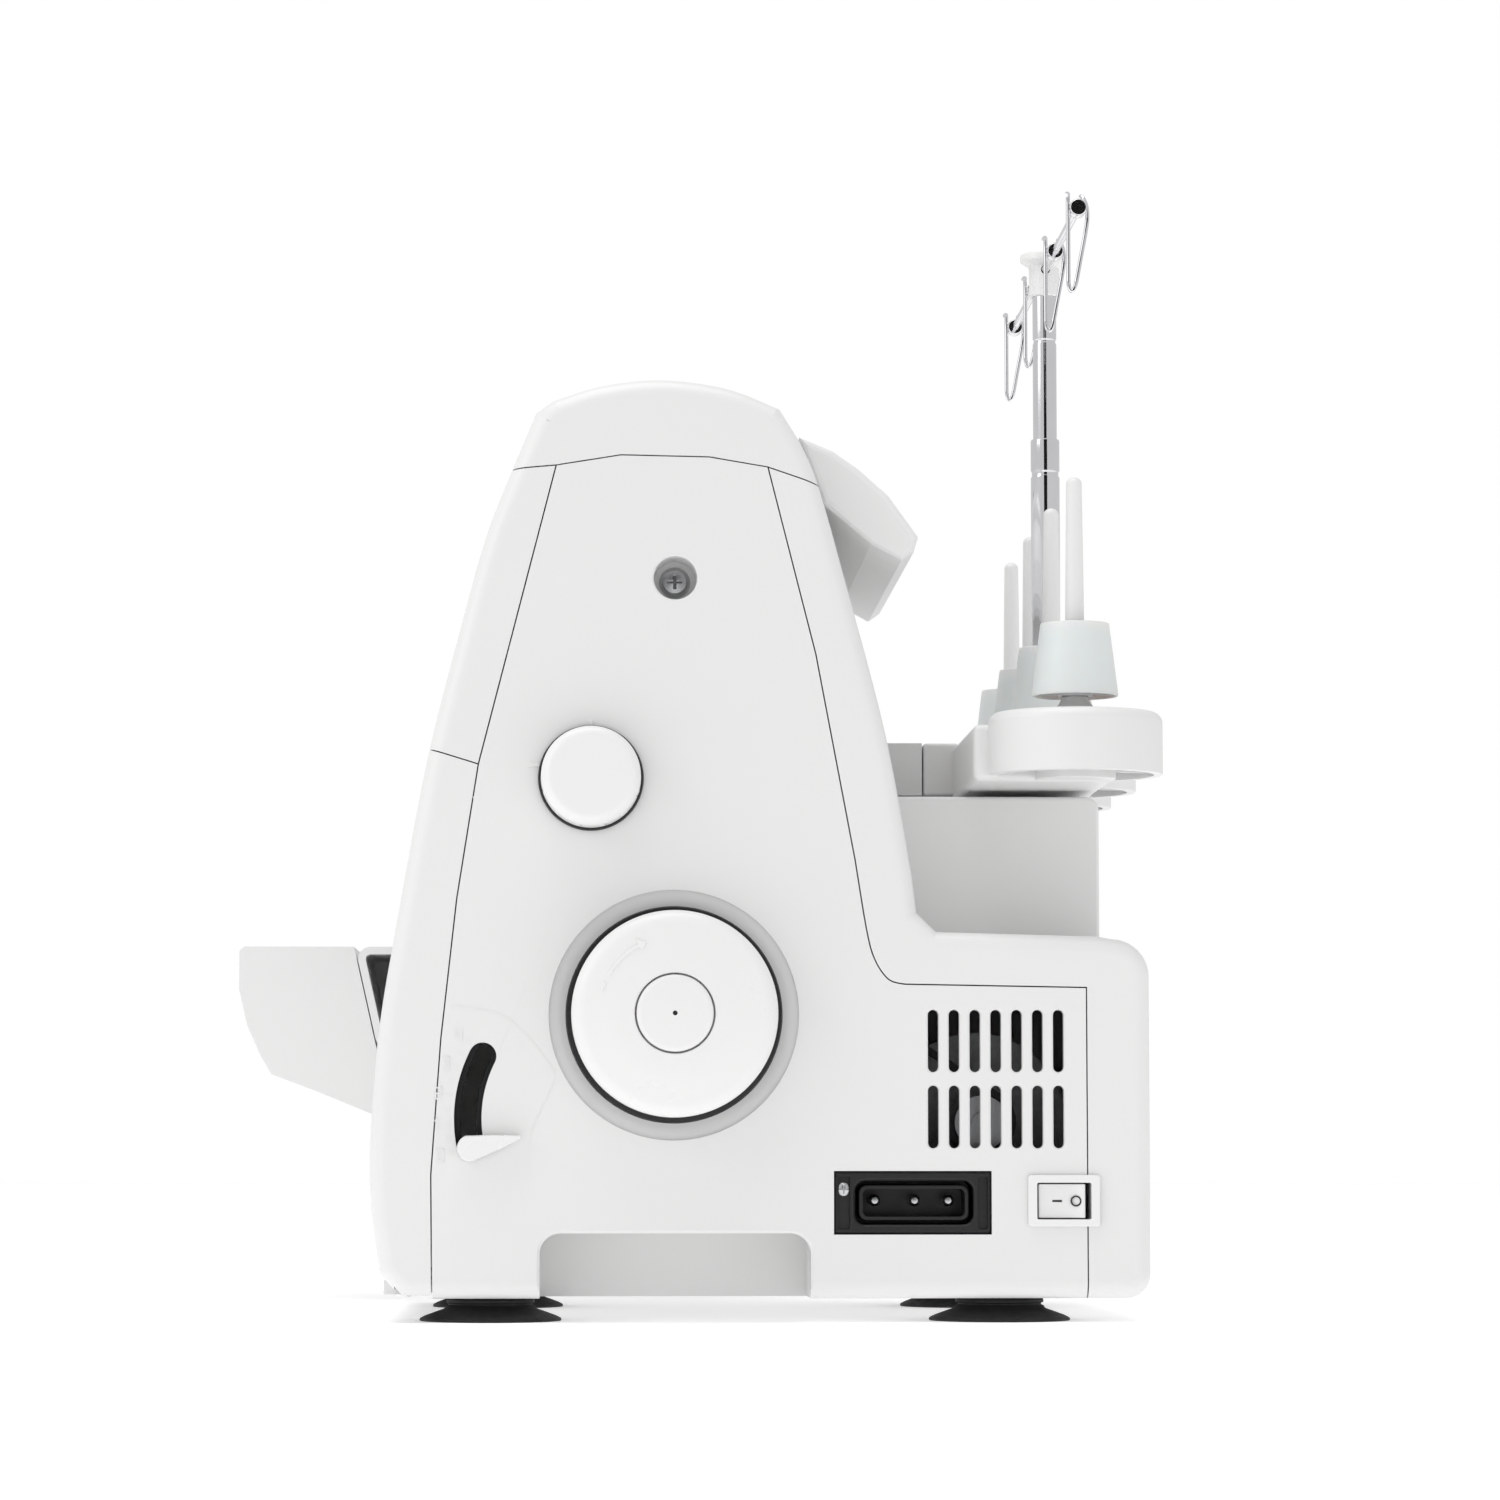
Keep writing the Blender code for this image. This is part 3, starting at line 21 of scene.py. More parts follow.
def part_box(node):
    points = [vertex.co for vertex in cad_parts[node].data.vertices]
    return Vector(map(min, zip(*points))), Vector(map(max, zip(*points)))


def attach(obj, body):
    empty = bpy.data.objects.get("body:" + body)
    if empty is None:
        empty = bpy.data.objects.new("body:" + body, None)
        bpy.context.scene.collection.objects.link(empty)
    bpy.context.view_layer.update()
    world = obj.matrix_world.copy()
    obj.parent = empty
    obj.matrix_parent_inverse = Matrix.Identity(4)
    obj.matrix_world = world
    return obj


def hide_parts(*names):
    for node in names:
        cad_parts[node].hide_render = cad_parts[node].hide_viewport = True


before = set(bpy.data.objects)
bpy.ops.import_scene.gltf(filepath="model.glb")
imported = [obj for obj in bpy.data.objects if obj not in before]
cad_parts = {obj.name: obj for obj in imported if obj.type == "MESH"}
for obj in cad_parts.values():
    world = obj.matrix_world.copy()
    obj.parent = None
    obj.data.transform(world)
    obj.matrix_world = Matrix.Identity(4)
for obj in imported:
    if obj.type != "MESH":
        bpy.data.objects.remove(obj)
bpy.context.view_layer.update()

LOG = logging.getLogger("serger")
MM = 0.001
Point = tuple[float, float]
Place = tuple[float, float, float]
Span = tuple[float, float]


# ---- shader maths ----------------------------------------------------------------
class Wave:
    """A socket, with operators that add the Math nodes they stand for."""

    def __init__(self, tree: bpy.types.NodeTree, socket: bpy.types.NodeSocket) -> None:
        """Wrap a socket.

        Args:
            tree: The node tree that holds it.
            socket: The output socket.
        """
        self.tree = tree
        self.socket = socket

    def _math(self, operation: str, first: Wave | float, second: Wave | float) -> Wave:
        """Add one Math node.

        Args:
            operation: The node's operation.
            first: Its first value.
            second: Its second value.

        Returns:
            The node's result.
        """
        return Wave(
            self.tree,
            add_node(self.tree, "Math", {"operation": operation}, {0: first, 1: second}).outputs[0],
        )

    def __add__(self, other: Wave | float) -> Wave:
        """Sum."""
        return self._math("ADD", self, other)

    __radd__ = __add__

    def __mul__(self, other: Wave | float) -> Wave:
        """Product."""
        return self._math("MULTIPLY", self, other)

    __rmul__ = __mul__

    def __sub__(self, other: Wave | float) -> Wave:
        """Difference."""
        return self._math("SUBTRACT", self, other)

    def __rsub__(self, other: float) -> Wave:
        """Difference, the other way round."""
        return self._math("SUBTRACT", other, self)

    def __pow__(self, other: float) -> Wave:
        """Power."""
        return self._math("POWER", self, other)


def add_node(tree: bpy.types.NodeTree, kind: str, settings: dict, values: dict) -> bpy.types.Node:
    """Add a shader node.

    Args:
        tree: The node tree.
        kind: The node's type without its ShaderNode prefix.
        settings: Its attributes, or a ramp's stops under "stops".
        values: Its input sockets' values or links, by name or number.

    Returns:
        The node.
    """
    node = tree.nodes.new("ShaderNode" + kind)
    for key, value in settings.items():
        if key != "stops":
            setattr(node, key, value)
            continue
        elements = node.color_ramp.elements
        for index, (position, level) in enumerate(value):
            stop = elements[index] if index < len(elements) else elements.new(position)
            stop.position = position
            stop.color = (level, level, level, 1.0)
    for key, value in values.items():
        if isinstance(value, Wave):
            tree.links.new(value.socket, node.inputs[key])
        elif isinstance(value, bpy.types.NodeSocket):
            tree.links.new(value, node.inputs[key])
        else:
            node.inputs[key].default_value = value
    return node


class Surface:
    """A material under construction: its tree, its shader and common textures."""

    def __init__(self, name: str) -> None:
        """Start a material.

        Args:
            name: The material's name.
        """
        self.material = bpy.data.materials.new(name)
        self.material.use_nodes = True
        self.tree = self.material.node_tree
        self.shader = self.tree.nodes["Principled BSDF"]
        self.where = add_node(self.tree, "TexCoord", {}, {}).outputs["Object"]

    def noise(self, scale: float, detail: float = 2.0, stretch: Place = (1.0, 1.0, 1.0)) -> Wave:
        """Noise in the object's own coordinates.

        Args:
            scale: Cells per metre.
            detail: Octaves.
            stretch: Scale along each axis.

        Returns:
            The noise, about 0.5.
        """
        mapped = add_node(
            self.tree, "Mapping", {}, {"Vector": self.where, "Scale": stretch},
        ).outputs[0]
        node = add_node(
            self.tree, "TexNoise", {}, {"Vector": mapped, "Scale": scale, "Detail": detail},
        )
        return Wave(self.tree, node.outputs[0])

    def colour(self, first: Sequence[float], second: Sequence[float], factor: Wave) -> None:
        """Mix two base colours by a factor.

        Args:
            first: Colour at factor 0.
            second: Colour at factor 1.
            factor: What varies.
        """
        node = add_node(
            self.tree, "Mix", {"data_type": "RGBA"},
            {"Factor": factor, "A": (*first, 1.0), "B": (*second, 1.0)},
        )
        self.tree.links.new(node.outputs["Result"], self.shader.inputs["Base Color"])

    def feed(self, socket: str, value: Wave) -> None:
        """Link a varying value to the shader."""
        self.tree.links.new(value.socket, self.shader.inputs[socket])

    def fix(self, **values: float | tuple) -> None:
        """Set constants on the shader; an underscore stands for a space."""
        for key, value in values.items():
            self.shader.inputs[key.replace("_", " ")].default_value = value

    def bump(self, height: Wave, strength: float, depth: float) -> None:
        """Let a height field disturb the normal.

        Args:
            height: The height field.
            strength: The Bump node's strength.
            depth: Its depth in metres.
        """
        node = add_node(
            self.tree, "Bump", {}, {"Strength": strength, "Distance": depth, "Height": height},
        )
        self.tree.links.new(node.outputs[0], self.shader.inputs["Normal"])


@dataclass(frozen=True)
class MouldedPlastic:
    """Injection moulded plastic with a fine spark-eroded grain."""

    name: str
    colour: tuple[float, float, float]
    roughness: float = 0.34
    grain: float = 0.05
    drift: float = 0.012
    speck: float = 2400.0

    def build(self) -> bpy.types.Material:
        """Make the material.

        Returns:
            The finished material.
        """
        made = Surface(self.name)
        slow = made.noise(9.0, 3.0)
        fine = made.noise(self.speck, 2.0)
        darker = tuple(max(c - self.drift, 0.0) for c in self.colour)
        made.colour(self.colour, darker, slow)
        made.feed("Roughness", self.roughness - 0.03 + 0.06 * made.noise(35.0, 4.0))
        made.fix(IOR=1.5)
        made.bump(fine, self.grain, 0.00012)
        return made.material


@dataclass(frozen=True)
class ClearPlastic:
    """Thin natural plastic that lets light through."""

    name: str
    colour: tuple[float, float, float]
    alpha: float
    roughness: float = 0.16

    def build(self) -> bpy.types.Material:
        """Make the material.

        Returns:
            The finished material.
        """
        made = Surface(self.name)
        made.colour(self.colour, tuple(c * 0.97 for c in self.colour), made.noise(60.0))
        made.feed("Roughness", self.roughness + 0.05 * made.noise(140.0))
        made.feed("Alpha", self.alpha + 0.08 * made.noise(45.0))
        made.fix(IOR=1.49, Subsurface_Weight=0.15, Subsurface_Scale=0.01)
        return made.material


@dataclass(frozen=True)
class BrightMetal:
    """Chrome or ground steel, with fine drawn scratches along one axis."""

    name: str
    colour: tuple[float, float, float]
    roughness: float
    scratch: float = 0.08
    stretch: Place = (1.0, 1.0, 0.03)

    def build(self) -> bpy.types.Material:
        """Make the material.

        Returns:
            The finished material.
        """
        made = Surface(self.name)
        drawn = made.noise(2600.0, 3.0, self.stretch)
        made.colour(self.colour, tuple(c * 0.86 for c in self.colour), made.noise(70.0, 4.0))
        made.feed("Roughness", self.roughness + self.scratch * drawn)
        made.fix(Metallic=1.0)
        made.bump(drawn, 0.06, 0.00004)
        return made.material


@dataclass(frozen=True)
class SoftRubber:
    """Black moulded rubber with a dusty bloom."""

    name: str
    colour: tuple[float, float, float] = (0.012, 0.012, 0.013)
    bloom: float = 0.02

    def build(self) -> bpy.types.Material:
        """Make the material.

        Returns:
            The finished material.
        """
        made = Surface(self.name)
        dust = made.noise(120.0, 5.0) ** 3.0
        made.colour(self.colour, tuple(c + self.bloom for c in self.colour), dust)
        made.feed("Roughness", 0.55 + 0.2 * made.noise(300.0, 3.0))
        made.bump(made.noise(1800.0, 3.0), 0.12, 0.0001)
        return made.material


@dataclass(frozen=True)
class CastMetal:
    """Sand-textured cast aluminium, a little darker in its pits."""

    name: str
    colour: tuple[float, float, float] = (0.42, 0.43, 0.44)

    def build(self) -> bpy.types.Material:
        """Make the material.

        Returns:
            The finished material.
        """
        made = Surface(self.name)
        pits = made.noise(700.0, 4.0)
        made.colour(tuple(c * 0.7 for c in self.colour), self.colour, pits)
        made.feed("Roughness", 0.42 + 0.25 * made.noise(240.0, 4.0))
        made.fix(Metallic=0.9)
        made.bump(pits, 0.35, 0.0003)
        return made.material


class Finish(Enum):
    """The finishes of the machine, each with the record's slot it belongs to."""

    SHELL = ("white_shell", MouldedPlastic("shell_white", (0.80, 0.80, 0.795), 0.36))
    KNOB = ("white_knob", MouldedPlastic("knob_white", (0.84, 0.84, 0.835), 0.28, 0.03))
    BLACK = ("black_plastic", MouldedPlastic("moulded_black", (0.012, 0.012, 0.013), 0.4, 0.1))
    PRINT = ("black_plastic", MouldedPlastic("printed_black", (0.03, 0.03, 0.032), 0.5, 0.02))
    RUBBER = ("rubber_foot", SoftRubber("foot_rubber"))
    BELT = ("belt_rubber", SoftRubber("belt_rubber", (0.02, 0.02, 0.02)))
    CHROME = ("chrome_wire", BrightMetal("bright_chrome", (0.82, 0.82, 0.84), 0.05, 0.05))
    STEEL = ("steel_working", BrightMetal("ground_steel", (0.58, 0.59, 0.6), 0.22))
    CAST = ("cast_frame", CastMetal("cast_alloy"))
    CONE = ("cone_plastic", ClearPlastic("natural_cone", (0.86, 0.86, 0.85), 0.86, 0.3))
    LENS = ("lamp_plastic", ClearPlastic("lamp_lens", (0.95, 0.95, 0.93), 0.5, 0.05))

    @property
    def slot(self) -> str:
        """The record's material slot."""
        return self.value[0]

    def material(self) -> bpy.types.Material:
        """The material, made at its first use."""
        return bpy.data.materials.get(self.value[1].name) or self.value[1].build()


# ---- outlines --------------------------------------------------------------------
def arc(centre: Point, radius: float, start: float, end: float, steps: int) -> list[Point]:
    """Points along an arc.

    Args:
        centre: The arc's centre.
        radius: Its radius.
        start: First angle in degrees.
        end: Last angle in degrees.
        steps: Number of chords.

    Returns:
        The points.
    """
    angles = [math.radians(start + (end - start) * step / steps) for step in range(steps + 1)]
    return [(centre[0] + radius * math.cos(a), centre[1] + radius * math.sin(a)) for a in angles]


def band(
    centre: Point, inner: float, outer: float, start: float, end: float, steps: int,
) -> list[Point]:
    """The closed outline between two radii, with square ends.

    Args:
        centre: Centre of both arcs.
        inner: Small radius.
        outer: Large radius.
        start: First angle in degrees.
        end: Last angle in degrees.
        steps: Number of chords.

    Returns:
        The outline, anticlockwise.
    """
    return arc(centre, inner, end, start, steps) + arc(centre, outer, start, end, steps)


def smooth(points: Sequence[Point], steps: int = 6) -> list[Point]:
    """A Catmull-Rom curve through points.

    Args:
        points: Points to pass through.
        steps: Chords between neighbours.

    Returns:
        The curve's points.
    """
    ends = [points[0], *points, points[-1]]
    found: list[Point] = []
    for p0, p1, p2, p3 in zip(ends, ends[1:], ends[2:], ends[3:]):
        for step in range(steps):
            t = step / steps
            found.append(tuple(
                0.5 * (
                    2 * b + (c - a) * t + (
                        2 * a - 5 * b + 4 * c - d
                    ) * t * t + (3 * b - a - 3 * c + d) * t**3
                )
                for a, b, c, d in zip(p0, p1, p2, p3)
            ))
    return [*found, points[-1]]


def rounded(corners: Sequence[tuple[float, ...]], steps: int = 6) -> list[Point]:
    """A closed outline whose corners (a, b, radius) are arcs.

    Args:
        corners: The corners in order.
        steps: Chords in each arc.

    Returns:
        The outline.
    """
    found: list[Point] = []
    corners = list(corners)
    for before, corner, after in zip(
        corners[-1:] + corners[:-1], corners, corners[1:] + corners[:1],
    ):
        here = Vector(corner[:2])
        radius = corner[2] if len(corner) > 2 else 0.0
        if radius <= 0.0:
            found.append(tuple(here))
            continue
        to_before = (Vector(before[:2]) - here).normalized()
        to_after = (Vector(after[:2]) - here).normalized()
        half = to_before.angle(to_after) / 2
        centre = here + (to_before + to_after).normalized() * (radius / math.sin(half))
        start = here + to_before * (radius / math.tan(half)) - centre
        end = here + to_after * (radius / math.tan(half)) - centre
        turn = start.angle_signed(end)
        found += [
            tuple(centre + Matrix.Rotation(-turn * step / steps, 2) @ start)
            for step in range(steps + 1)
        ]
    return found


def rectangle(a: Span, b: Span, radius: float = 0.0, steps: int = 6) -> list[Point]:
    """A rectangle with rounded corners.

    Args:
        a: Its span along the first axis.
        b: Its span along the second axis.
        radius: Corner radius.
        steps: Chords in each corner.

    Returns:
        The outline.
    """
    corners = [
        (a[0], b[0], radius), (a[1], b[0], radius), (a[1], b[1], radius), (a[0], b[1], radius),
    ]
    return rounded(corners, steps)


def inset(outline: Sequence[Point], distance: float) -> list[Point]:
    """A closed anticlockwise outline moved inwards.

    Args:
        outline: The outline.
        distance: How far; negative moves it outwards.

    Returns:
        The moved outline.
    """
    found: list[Point] = []
    outline = list(outline)
    for before, here, after in zip(outline[-1:] + outline[:-1], outline, outline[1:] + outline[:1]):
        first = (Vector(here) - Vector(before)).normalized()
        second = (Vector(after) - Vector(here)).normalized()
        in_1, in_2 = Vector((-first.y, first.x)), Vector((-second.y, second.x))
        middle = (in_1 + in_2).normalized()
        found.append(tuple(Vector(here) + middle * (distance / max(middle.dot(in_1), 0.3))))
    return found


# ---- solids ----------------------------------------------------------------------
def workshop_origin() -> Vector:
    """Where the machine's own frame sits in the row frame, read from two of its parts.

    Returns:
        The machine's origin in metres: the side panel's face, the shaft's zero and the floor.
    """
    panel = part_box("right_side_cover")[1][0]
    low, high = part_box("handwheel_rim")
    return Vector((panel, (low[1] + high[1]) / 2 - WHEEL_Y * MM, 0.0))


WHEEL_Y, WHEEL_Z = 26.8, 89.1  # the shaft's axis
# levels clear of the body on every side, where cutters end
BEYOND_LEFT, BEYOND_FRONT, BEYOND_REAR, BELOW, ABOVE = -400, -200, 300, -10.0, 300.0
ORIGIN = workshop_origin()


class Solid:
    """A mesh in the machine's frame, in millimetres until it is dressed."""

    def __init__(self, bm: bmesh.types.BMesh, fresh: bool = True) -> None:
        """Take a bmesh over as an object.

        Args:
            bm: The mesh; it is freed.
            fresh: Whether it still needs its normals turned outwards.
        """
        if fresh:
            bmesh.ops.recalc_face_normals(bm, faces=bm.faces)
        mesh = bpy.data.meshes.new("solid")
        bm.to_mesh(mesh)
        bm.free()
        self.obj = bpy.data.objects.new("solid", mesh)
        bpy.context.scene.collection.objects.link(self.obj)

    def _bmesh(self) -> bmesh.types.BMesh:
        """A fresh bmesh of this solid.

        Returns:
            The bmesh, for the caller to free.
        """
        bm = bmesh.new()
        bm.from_mesh(self.obj.data)
        return bm

    def copy(self) -> Solid:
        """A second solid of the same shape."""
        return Solid(self._bmesh(), fresh=False)

    def bake(self) -> Solid:
        """Apply the modifiers.

        Returns:
            This solid.
        """
        graph = bpy.context.evaluated_depsgraph_get()
        mesh = bpy.data.meshes.new_from_object(self.obj.evaluated_get(graph))
        self.obj.modifiers.clear()
        self.obj.data = mesh
        return self

    def _boolean(self, others: Iterable[Solid], operation: str) -> Solid:
        """Apply one Boolean with each of the others, which are used up.

        Args:
            others: The other solids.
            operation: UNION, DIFFERENCE or INTERSECT.

        Returns:
            This solid.
        """
        for other in others:
            step = self.obj.modifiers.new("step", "BOOLEAN")
            step.operation = operation
            step.solver = "MANIFOLD"
            step.object = other.obj
            self.bake()
            bpy.data.objects.remove(other.obj, do_unlink=True)
        return self

    def cut(self, *others: Solid) -> Solid:
        """Take the others out of this one."""
        return self._boolean(others, "DIFFERENCE")

    def join(self, *others: Solid) -> Solid:
        """Make one solid with the others."""
        return self._boolean(others, "UNION")

    def keep(self, other: Solid) -> Solid:
        """Keep what both share."""
        return self._boolean((other,), "INTERSECT")

    def ease(
        self, width: float, chosen: Callable[[bmesh.types.BMEdge], bool], segments: int = 4,
    ) -> Solid:
        """Round the chosen edges.

        Args:
            width: The rounding's width.
            chosen: Picks the edges.
            segments: Facets in the rounding.

        Returns:
            This solid.
        """
        bm = self._bmesh()
        edges = [edge for edge in bm.edges if chosen(edge)]
        bmesh.ops.bevel(
            bm, geom=edges, offset=width, segments=segments, profile=0.5, affect="EDGES",
        )
        bm.to_mesh(self.obj.data)
        bm.free()
        return self

    def move(self, matrix: Matrix) -> Solid:
        """Transform the mesh."""
        self.obj.data.transform(matrix)
        return self

    def dress(
        self, name: str, finish: Finish, body: str = "body", stands_for: Sequence[str] = (),
        soften: float = 0.0, crease: float = 35.0, segments: int = 2,
    ) -> bpy.types.Object:
        """Name the piece, place it in the row frame, give it a finish and let it ride.

        Args:
            name: The piece's name.
            finish: Its finish.
            body: The CAD body it rides on.
            stands_for: CAD nodes that it replaces.
            soften: Width of the rounding on sharp edges; 0 for none.
            crease: Angle in degrees above which an edge is sharp.
            segments: Facets in that rounding.

        Returns:
            The piece.
        """
        bm = self._bmesh()
        flat = math.radians(0.4)
        bmesh.ops.dissolve_limit(bm, angle_limit=flat, verts=bm.verts, edges=bm.edges)
        mesh = self.obj.data
        bm.to_mesh(mesh)
        bm.free()
        mesh.transform(Matrix.Translation(ORIGIN) @ Matrix.Scale(MM, 4))
        mesh.materials.clear()
        mesh.materials.append(finish.material())
        self.obj.name = mesh.name = name
        polish(self.obj, soften * MM, crease, segments)
        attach(self.obj, body)
        if stands_for:
            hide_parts(*stands_for)
        LOG.info("%s: %s on %s", name, finish.name.lower(), body)
        return self.obj


def polish(obj: bpy.types.Object, width: float, crease: float, segments: int = 2) -> None:
    """Smooth shading with rounded edges and area-weighted normals.

    Args:
        obj: The object.
        width: Width of the rounding in metres; 0 for none.
        crease: Angle in degrees above which an edge is sharp.
        segments: Facets in the rounding.
    """
    obj.data.shade_smooth()
    if width > 0.0:
        bevel = obj.modifiers.new("soften", "BEVEL")
        bevel.width = width
        bevel.segments = segments
        bevel.limit_method = "ANGLE"
        bevel.angle_limit = math.radians(crease)
        bevel.miter_outer = "MITER_ARC"
        bevel.harden_normals = False
    else:
        obj.data.set_sharp_from_angle(angle=math.radians(crease))
    weigh = obj.modifiers.new("weigh", "WEIGHTED_NORMAL")
    weigh.mode = "FACE_AREA"
    weigh.weight = 60
    weigh.keep_sharp = True


def box(x: Span, y: Span, z: Span) -> Solid:
    """A block between three spans.

    Args:
        x: Its left and right faces.
        y: Its front and rear faces.
        z: Its lower and upper faces.

    Returns:
        The block.
    """
    bm = bmesh.new()
    bmesh.ops.create_cube(bm, size=1.0)
    size = [b - a for a, b in (x, y, z)]
    middle = [(a + b) / 2 for a, b in (x, y, z)]
    bmesh.ops.transform(
        bm, matrix=Matrix.Translation(middle) @ Matrix.Diagonal((*size, 1.0)), verts=bm.verts,
    )
    return Solid(bm)


def heading(axis: Place | Vector) -> Matrix:
    """The turn that takes +Z to an axis."""
    return Vector((0, 0, 1)).rotation_difference(Vector(axis)).to_matrix().to_4x4()


def turned(
    profile: Sequence[Point], centre: Place, axis: Place = (1, 0, 0), sides: int = 96,
) -> Solid:
    """A profile turned round an axis.

    Args:
        profile: Points (radius, distance along the axis), closed if neither end is on the axis.
        centre: Where the axis starts.
        axis: Its direction.
        sides: Facets round it.

    Returns:
        The solid.
    """
    bm = bmesh.new()
    rings = []
    for radius, height in profile:
        if radius < 1e-6:
            rings.append([bm.verts.new((0.0, 0.0, height))])
            continue
        ring = [
            bm.verts.new(
                (
                    radius * math.cos(2 * math.pi * k / sides),
                    radius * math.sin(2 * math.pi * k / sides), height,
                )
            )
            for k in range(sides)
        ]
        rings.append(ring)
    pairs = list(zip(rings, rings[1:]))
    if len(rings[0]) > 1 and len(rings[-1]) > 1:
        pairs.append((rings[-1], rings[0]))
    for first, second in pairs:
        for k in range(sides):
            corners = [
                first[k % len(first)], first[(k + 1) % len(first)], second[(k + 1) % len(second)],
                second[k % len(second)],
            ]
            unique = list(dict.fromkeys(corners))
            if len(unique) > 2:
                bm.faces.new(unique)
    bmesh.ops.transform(bm, matrix=Matrix.Translation(centre) @ heading(axis), verts=bm.verts)
    return Solid(bm)


def rod(
    start: Place, end: Place, radius: float, sides: int = 32, end_radius: float | None = None,
) -> Solid:
    """A round bar or cone between two points.

    Args:
        start: The middle of its first end.
        end: The middle of its other end.
        radius: Radius at the start.
        sides: Sides of the circle.
        end_radius: Radius at the end, where it differs.

    Returns:
        The bar.
    """
    run = Vector(end) - Vector(start)
    far = radius if end_radius is None else end_radius
    return turned(
        [(0.0, 0.0), (radius, 0.0), (far, run.length), (0.0, run.length)], start, run.normalized(),
        sides,
    )


class Plane(Enum):
    """Planes an outline can lie in, as the matrix that lays it there."""

    YZ = ((0, 0, 1, 0), (1, 0, 0, 0), (0, 1, 0, 0), (0, 0, 0, 1))
    XZ = ((1, 0, 0, 0), (0, 0, 1, 0), (0, 1, 0, 0), (0, 0, 0, 1))
    XY = ((1, 0, 0, 0), (0, 1, 0, 0), (0, 0, 1, 0), (0, 0, 0, 1))


def plate(outline: Sequence[Point], low: float, high: float, plane: Plane = Plane.YZ) -> Solid:
    """An outline given thickness along the third axis.

    Args:
        outline: The closed outline.
        low: Lower level.
        high: Upper level.
        plane: The plane of the outline.

    Returns:
        The solid.
    """
    bm = bmesh.new()
    face = bm.faces.new([bm.verts.new((a, b, low)) for a, b in outline])
    rise = bmesh.ops.extrude_face_region(bm, geom=[face])
    moved = [item for item in rise["geom"] if isinstance(item, bmesh.types.BMVert)]
    bmesh.ops.translate(bm, verts=moved, vec=(0.0, 0.0, high - low))
    bmesh.ops.transform(bm, matrix=Matrix(plane.value), verts=bm.verts)
    return Solid(bm)


def swept(points: Sequence[Place], radius: float, sides: int = 12, closed: bool = False) -> Solid:
    """A round wire along points, each ring square to the path.

    Args:
        points: The path.
        radius: The wire's radius.
        sides: Facets round it.
        closed: Whether the path is a loop.

    Returns:
        The solid.
    """
    bm = bmesh.new()
    path = [Vector(point) for point in points]
    count = len(path)
    normal = Vector((0.31, 0.55, 0.77))
    rings = []
    for index, here in enumerate(path):
        before = path[index - 1] if index or closed else here
        after = path[(index + 1) % count] if index < count - 1 or closed else here
        run = (after - before).normalized()
        normal = (normal - run * normal.dot(run)).normalized()
        side = run.cross(normal)
        rings.append([
            bm.verts.new(
                here + (
                    normal * math.cos(
                        2 * math.pi * k / sides
                    ) + side * math.sin(2 * math.pi * k / sides)
                ) * radius
            )
            for k in range(sides)
        ])
    pairs = list(zip(rings, rings[1:])) + ([(rings[-1], rings[0])] if closed else [])
    for first, second in pairs:
        for k in range(sides):
            bm.faces.new([first[k], first[(k + 1) % sides], second[(k + 1) % sides], second[k]])
    if not closed:
        bm.faces.new(rings[0])
        bm.faces.new(rings[-1])
    return Solid(bm)


def gathered(solids: Iterable[Solid]) -> Solid:
    """Several solids that don't touch, as one.

    Args:
        solids: The solids, which are used up.

    Returns:
        The one solid.
    """
    bm = bmesh.new()
    for solid in solids:
        bm.from_mesh(solid.obj.data)
        bpy.data.objects.remove(solid.obj, do_unlink=True)
    return Solid(bm, fresh=False)


def steep(angle: float = 50.0) -> Callable[[bmesh.types.BMEdge], bool]:
    """Picks the edges where two faces meet at more than an angle in degrees."""
    return lambda edge: len(edge.link_faces) == 2 and edge.calc_face_angle(0.0) > math.radians(angle)


def on_panel(outline: Sequence[Point], height: float, sink: float = 0.3) -> Solid:
    """A raised mark on the right side cover.

    Args:
        outline: Its outline in Y and Z.
        height: How far it stands out.
        sink: How far it reaches into the cover.

    Returns:
        The mark.
    """
    return plate(outline, -sink, height)


